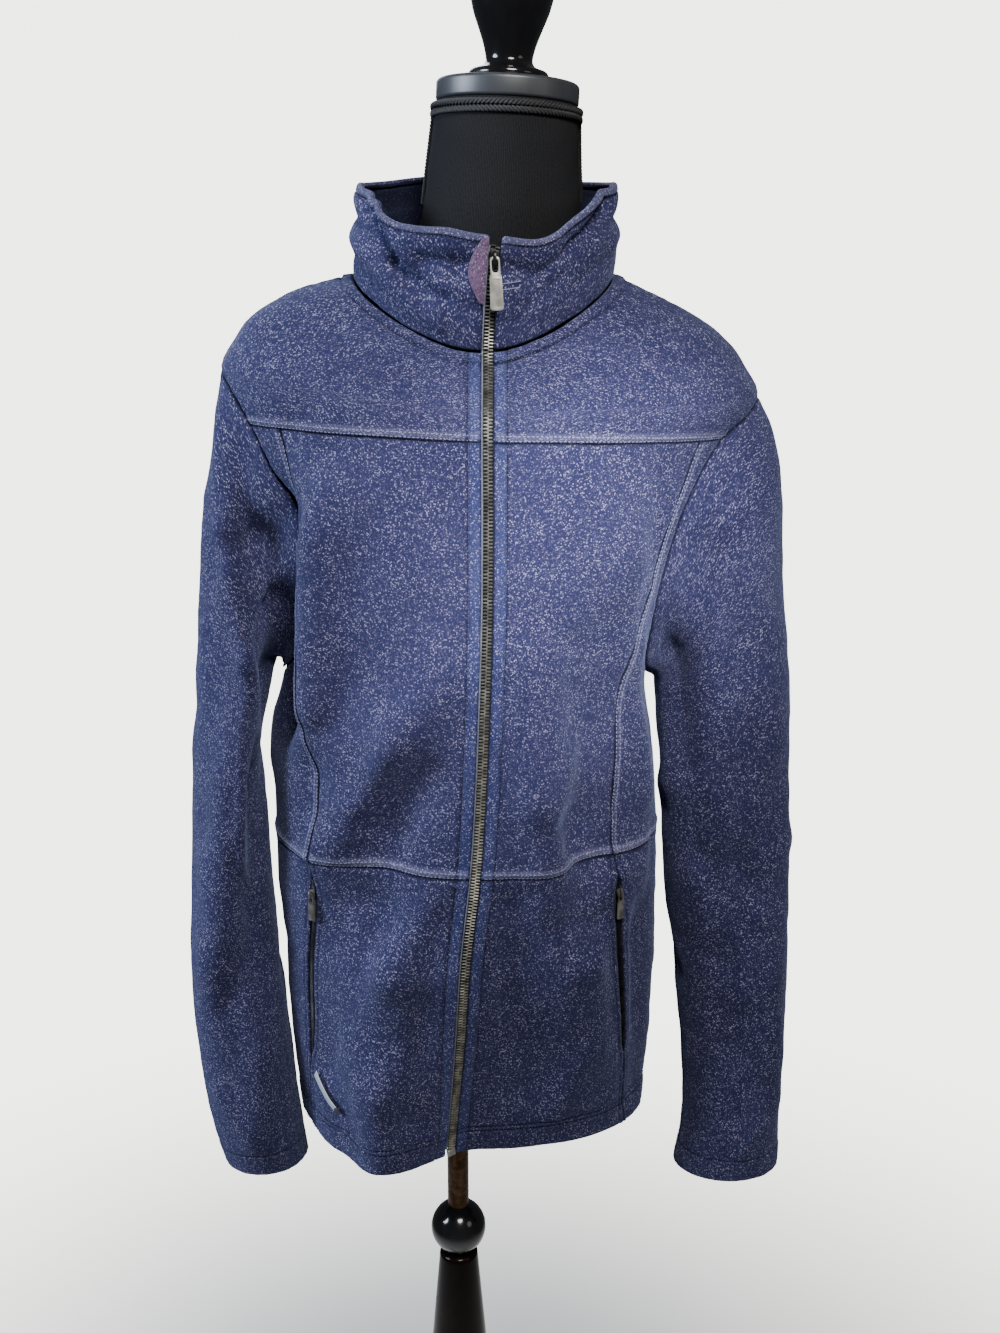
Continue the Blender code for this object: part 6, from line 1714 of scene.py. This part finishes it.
def form_jersey():
    """Torso, shoulders and neck as one closed body."""
    body_rows = np.concatenate([np.linspace(0.780, 1.300, 60), np.linspace(1.308, NECK_LEVEL, 16)])
    bridge_shares = np.linspace(0, 1, 16)[1:-1]
    neck_rows = np.linspace(0.0, 1.0, 24)
    columns = 120
    count = len(body_rows) + len(bridge_shares) + len(neck_rows)
    angle = np.arange(columns + 1) * 2 * pi / columns
    turn = np.repeat(angle[None], count, axis=0)
    body = form_surface(turn[: len(body_rows)], np.repeat(body_rows[:, None], columns + 1, axis=1))
    body[0, :, 2] = body_rows[0]
    start, end = body[-1], section(FORM_NECK, angle, np.zeros(angle.shape))
    reach = np.linalg.norm(end - start, axis=1)[None, :, None]
    inwards = -outward(angle) + np.array([0, 0, 0.15])
    bridge = cubic(bridge_shares[:, None, None], start, end, reach * inwards, reach * np.array([0.05, 0, 1.0]))
    neck = section(FORM_NECK, turn[: len(neck_rows)], np.repeat(neck_rows[:, None], columns + 1, axis=1))
    neck = neck + 0.25 * MM * unevenness(neck, 0.020, 9)[..., None] * outward(turn[: len(neck_rows)])
    points = np.concatenate([body, bridge, neck])
    points[:, -1] = points[:, 0]
    height = along(points[:, columns // 4])
    grid, layer, place = numbered_grid(columns + 1, count)
    for face in grid.faces:
        for corner in face.loops:
            column, row = place[corner.vert]
            size = 0.052 if row > len(body_rows) else 0.11
            corner[layer].uv = (angle[column] * size, height[row])
    for vertex, (column, row) in place.items():
        vertex.co = Vector(points[row, column]) + STAND_AXIS
    bmesh.ops.remove_doubles(grid, verts=grid.verts[:], dist=1e-6)
    bmesh.ops.holes_fill(grid, edges=[edge for edge in grid.edges if edge.is_boundary])
    bmesh.ops.recalc_face_normals(grid, faces=grid.faces[:])
    mesh = whole_mesh("form_jersey", grid, 60)
    place_piece("form_jersey", mesh, JERSEY, node_name="form_body")
    print("form_jersey", len(mesh.polygons) * 2, "triangles")


form_jersey()

# %% [markdown]
# ## Braid
# A braided cord is several strands wound round each other. Each strand is a thin tube along a wound line,
# so light catches its turns. One cord circles the neck below the cap, and one runs down each side.

# %% The neck's frame and a braided cord
def neck_frame(level):
    """The middle of the form's neck, with Z along its lean."""
    row = {name: float(column(FORM_NECK, name, level)) for name in FORM_NECK}
    origin = STAND_AXIS + Vector((row["centre"], 0, row["height"]))
    return Matrix.Translation(origin) @ Matrix.Rotation(math.atan(row["tilt"]), 4, "Y")


def cord(points, sides, ups, closed, wind, thick, pitch, strands=3):
    """Strands wound round a line. sides and ups are the two directions across it; shorter ones flatten it."""
    reach = along(points)
    if closed:
        pitch = reach[-1] / round(reach[-1] / pitch)
    shells = []
    for strand in range(strands):
        phase = 2 * pi * (reach / pitch + strand / strands)
        middle = points + wind / 2 * (np.cos(phase)[:, None] * sides + np.sin(phase)[:, None] * ups)
        turns = np.linspace(0, 2 * pi, 9)
        ring = np.cos(turns)[None, :, None] * sides[:, None] + np.sin(turns)[None, :, None] * ups[:, None]
        tube_points = middle[:, None] + thick * ring
        shell, _, place = numbered_grid(len(turns), len(points), mapped=False)
        for vertex, (across, row) in place.items():
            vertex.co = Vector(tube_points[row, across])
        bmesh.ops.remove_doubles(shell, verts=shell.verts[:], dist=2e-6)
        bmesh.ops.holes_fill(shell, edges=[edge for edge in shell.edges if edge.is_boundary])
        bmesh.ops.recalc_face_normals(shell, faces=shell.faces[:])
        shells.append(shell)
    return shells

# %% The braids on the neck
braid_level = 0.915
neck_radius = float(column(FORM_NECK, "half", braid_level))
turns = np.linspace(0, 2 * pi, 421)
radial = np.stack([np.sin(turns), -np.cos(turns), 0 * turns], axis=1)
frame_here = np.array(neck_frame(braid_level))
points = (radial * (neck_radius + 2.0 * MM)) @ frame_here[:3, :3].T + frame_here[:3, 3]
radial = radial @ frame_here[:3, :3].T
upward = np.repeat(frame_here[:3, 2][None], len(points), axis=0)
flat = 0.6 * radial
rows = [shell for way in (upward, -upward) for shell in cord(points + 2.35 * MM * way, flat, way, True, 2.2 * MM,
    1.25 * MM, 9.0 * MM)]
place_piece("neck_braid_cord", joined("neck_braid_cord", rows), BRAID, node_name="neck_braid")
for side, word in ((1, "left"), (-1, "right")):
    level = np.linspace(0.0, 0.86, 170)
    angle = np.full(level.shape, side * pi / 2)
    normal = facing(partial(section, FORM_NECK), angle, level)
    points = section(FORM_NECK, angle, level) + 0.8 * MM * normal + AXIS
    across = unit(np.cross(np.gradient(points, axis=0), normal))
    name = f"side_braid_{word}_cord"
    mesh = joined(name, cord(points, across, 0.7 * normal, False, 2.3 * MM, 1.05 * MM, 7.0 * MM))
    place_piece(name, mesh, BRAID, node_name=f"side_braid_{word}")
print("braids made")

# %% [markdown]
# ## Turned wood
# Cap, finial, ball and column are turned on a lathe: a profile spun round an axis. The spin has enough
# steps to look round up close. The finial's and the column's profiles have their corners cut twice, as sandpaper
# would soften them.

# %% A turned piece
def arc(centre_radius, centre_height, size, start, end, count):
    """Points of a round moulding, its angles in degrees from straight up, clockwise."""
    turns = np.radians(np.linspace(start, end, count))
    return [(centre_radius + size * math.sin(turn), centre_height + size * math.cos(turn)) for turn in turns]


def softened(profile, rounds=2):
    """Cuts each corner of a profile, rounds times."""
    points = [np.array(point, float) for point in profile]
    for _ in range(rounds):
        cut = [points[0]]
        for first, second in zip(points, points[1:]):
            cut += [0.78 * first + 0.22 * second, 0.22 * first + 0.78 * second]
        points = cut + [points[-1]]
    return points


def turned(name, profile, made, node_name, frame_matrix=None, steps=72, rounds=2):
    """A profile of (radius, height), top to bottom, spun round +Z into a closed body."""
    lathe = bmesh.new()
    points = [lathe.verts.new((radius, 0, height)) for radius, height in softened(profile, rounds)]
    edges = [lathe.edges.new(pair) for pair in zip(points, points[1:])]
    bmesh.ops.spin(lathe, geom=points + edges, cent=(0, 0, 0), axis=(0, 0, 1), angle=2 * pi, steps=steps,
        use_merge=True)
    bmesh.ops.remove_doubles(lathe, verts=lathe.verts[:], dist=2e-5)
    bmesh.ops.recalc_face_normals(lathe, faces=lathe.faces[:])
    bmesh.ops.transform(lathe, matrix=frame_matrix or Matrix.Translation(STAND_AXIS), verts=lathe.verts)
    mesh = whole_mesh(name, lathe, 50)
    place_piece(name, mesh, made, node_name=node_name)
    print(name, len(mesh.polygons), "faces")

# %% Cap and finial
cap_frame = neck_frame(1.0) @ Matrix.Translation((0, 0, SEAM_GAP))
edge = arc(CAP_RADIUS - 0.0030, CAP_HEIGHT - 0.0030, 0.0030, 0, 90, 7)
lower_edge = arc(CAP_RADIUS - 0.0024, 0.0024, 0.0024, 90, 180, 6)
profile = [(0, CAP_HEIGHT), (0.030, CAP_HEIGHT), (0.0445, CAP_HEIGHT), *edge, *lower_edge, (0, 0)]
turned("pewter_neck_cap", profile, PEWTER_WOOD, "neck_cap", cap_frame, rounds=0, steps=96)
knob = table("radius height", """
    0 0.0935   0.008 0.0928   0.0165 0.0895   0.024 0.0835   0.0286 0.075   0.03 0.066   0.0294 0.057
    0.0268 0.046   0.0225 0.0355   0.0185 0.025   0.0166 0.0175   0.0164 0.0138   0.0185 0.0105
""")
profile = [*zip(*knob.values()), *arc(0.0245, 0.0046, 0.0038, 0, 180, 9), (0, 0.0008)]
finial_frame = cap_frame @ Matrix.Translation((0, 0, CAP_HEIGHT + SEAM_GAP - 0.0008))
turned("lacquered_finial", profile, LACQUER, "finial", finial_frame)

# %% Pole, ball collar and column
form_foot = float(FORM_INSET["level"][0])
pole_foot = COLUMN_TOP + 2 * BALL_HALF_HEIGHT + 2 * SEAM_GAP
profile = [(0, form_foot - SEAM_GAP), (POLE_RADIUS, form_foot - SEAM_GAP), (POLE_RADIUS, pole_foot), (0, pole_foot)]
turned("brown_pole", profile, BRONZE, "pole", rounds=0)
ball_middle = COLUMN_TOP + SEAM_GAP + BALL_HALF_HEIGHT
flat = math.degrees(math.acos(BALL_HALF_HEIGHT / BALL_RADIUS))
profile = [(0, ball_middle + BALL_HALF_HEIGHT), *arc(0, ball_middle, BALL_RADIUS, flat, 180 - flat, 31)]
turned("black_ball", [*profile, (0, ball_middle - BALL_HALF_HEIGHT)], LACQUER, "ball_collar", rounds=0)
profile = [(0, COLUMN_TOP)] + [(radius, height) for height, radius in zip(COLUMN["height"], COLUMN["radius"])]
turned("turned_column", [*profile, (0, float(COLUMN["height"][-1]))], BROWN_WOOD, "column")

# %% [markdown]
# ## Legs
# Each leg is sawn from a board along a curve and its edges are rounded with a router: one outline, filled,
# extruded to the board's thickness and bevelled.

# %% Three curved legs
for word, heading in LEG_HEADINGS:
    name = f"curved_leg_{word}"
    reach = np.linspace(LEG["reach"][0], LEG["reach"][-1], 40)
    top = column(LEG, "top", reach, "reach")
    under = np.clip(column(LEG, "under", reach, "reach"), 0, None)
    under = np.where(reach > FOOT_START, 0.0, under)
    outline = [*zip(reach, top), *zip(reach[::-1], under[::-1])]
    turn = Matrix.Translation(STAND_AXIS) @ Matrix.Rotation(radians(heading), 4, "Z")
    board = extruded([outline], LEG_THICKNESS, turn, 2.2 * MM)
    place_piece(name, joined(name, [board]), BROWN_WOOD, node_name=f"leg_{word}")
print("legs:", len(LEG_HEADINGS))

# %% [markdown]
# ## What each sheet was cut from
# Every cloth piece is listed with the size of its flat cut, and its made area is printed beside the cut's. Widths
# and lengths are those of the pattern piece, and the area is smaller where the cut is shaped.

# %% The cut of each piece
# Name: width, length and area of the flat cut, and what the piece lies on or hangs from.
FLAT_CUTS = {
    "front_yoke_left": (0.200, 0.170, 0.0220, "form_jersey"),
    "front_yoke_right": (0.200, 0.170, 0.0215, "form_jersey"),
    "centre_front_left": (0.155, 0.320, 0.0430, "front_yoke_left_fleece"),
    "centre_front_right": (0.155, 0.320, 0.0435, "front_yoke_right_fleece"),
    "pocket_panel_left": (0.150, 0.250, 0.0335, "centre_front_left_fleece"),
    "pocket_panel_right": (0.155, 0.250, 0.0340, "centre_front_right_fleece"),
    "side_panel_left": (0.085, 0.320, 0.0160, "front_yoke_left_fleece"),
    "side_panel_right": (0.090, 0.320, 0.0210, "front_yoke_right_fleece"),
    "hip_panel_left": (0.085, 0.250, 0.0175, "side_panel_left_fleece"),
    "hip_panel_right": (0.085, 0.250, 0.0180, "side_panel_right_fleece"),
    "back_panel": (0.490, 0.690, 0.2650, "form_jersey"),
    "collar": (0.548, 0.067, 0.0366, "form_jersey"),
    "sleeve_left": (0.340, 0.660, 0.1640, "side_panel_left_fleece"),
    "sleeve_right": (0.330, 0.660, 0.1550, "side_panel_right_fleece"),
    "zip_guard": (0.036, 0.013, 0.00044, "collar_fleece"),
    "hem_label": (0.038, 0.010, 0.00025, "pocket_panel_right_fleece"),
}
for name, (width, length, area, below) in FLAT_CUTS.items():
    print(name, "cut:", area, "m2, made:", round(float(CUTS[name]), 5), "m2")

# %% Importing json
import json
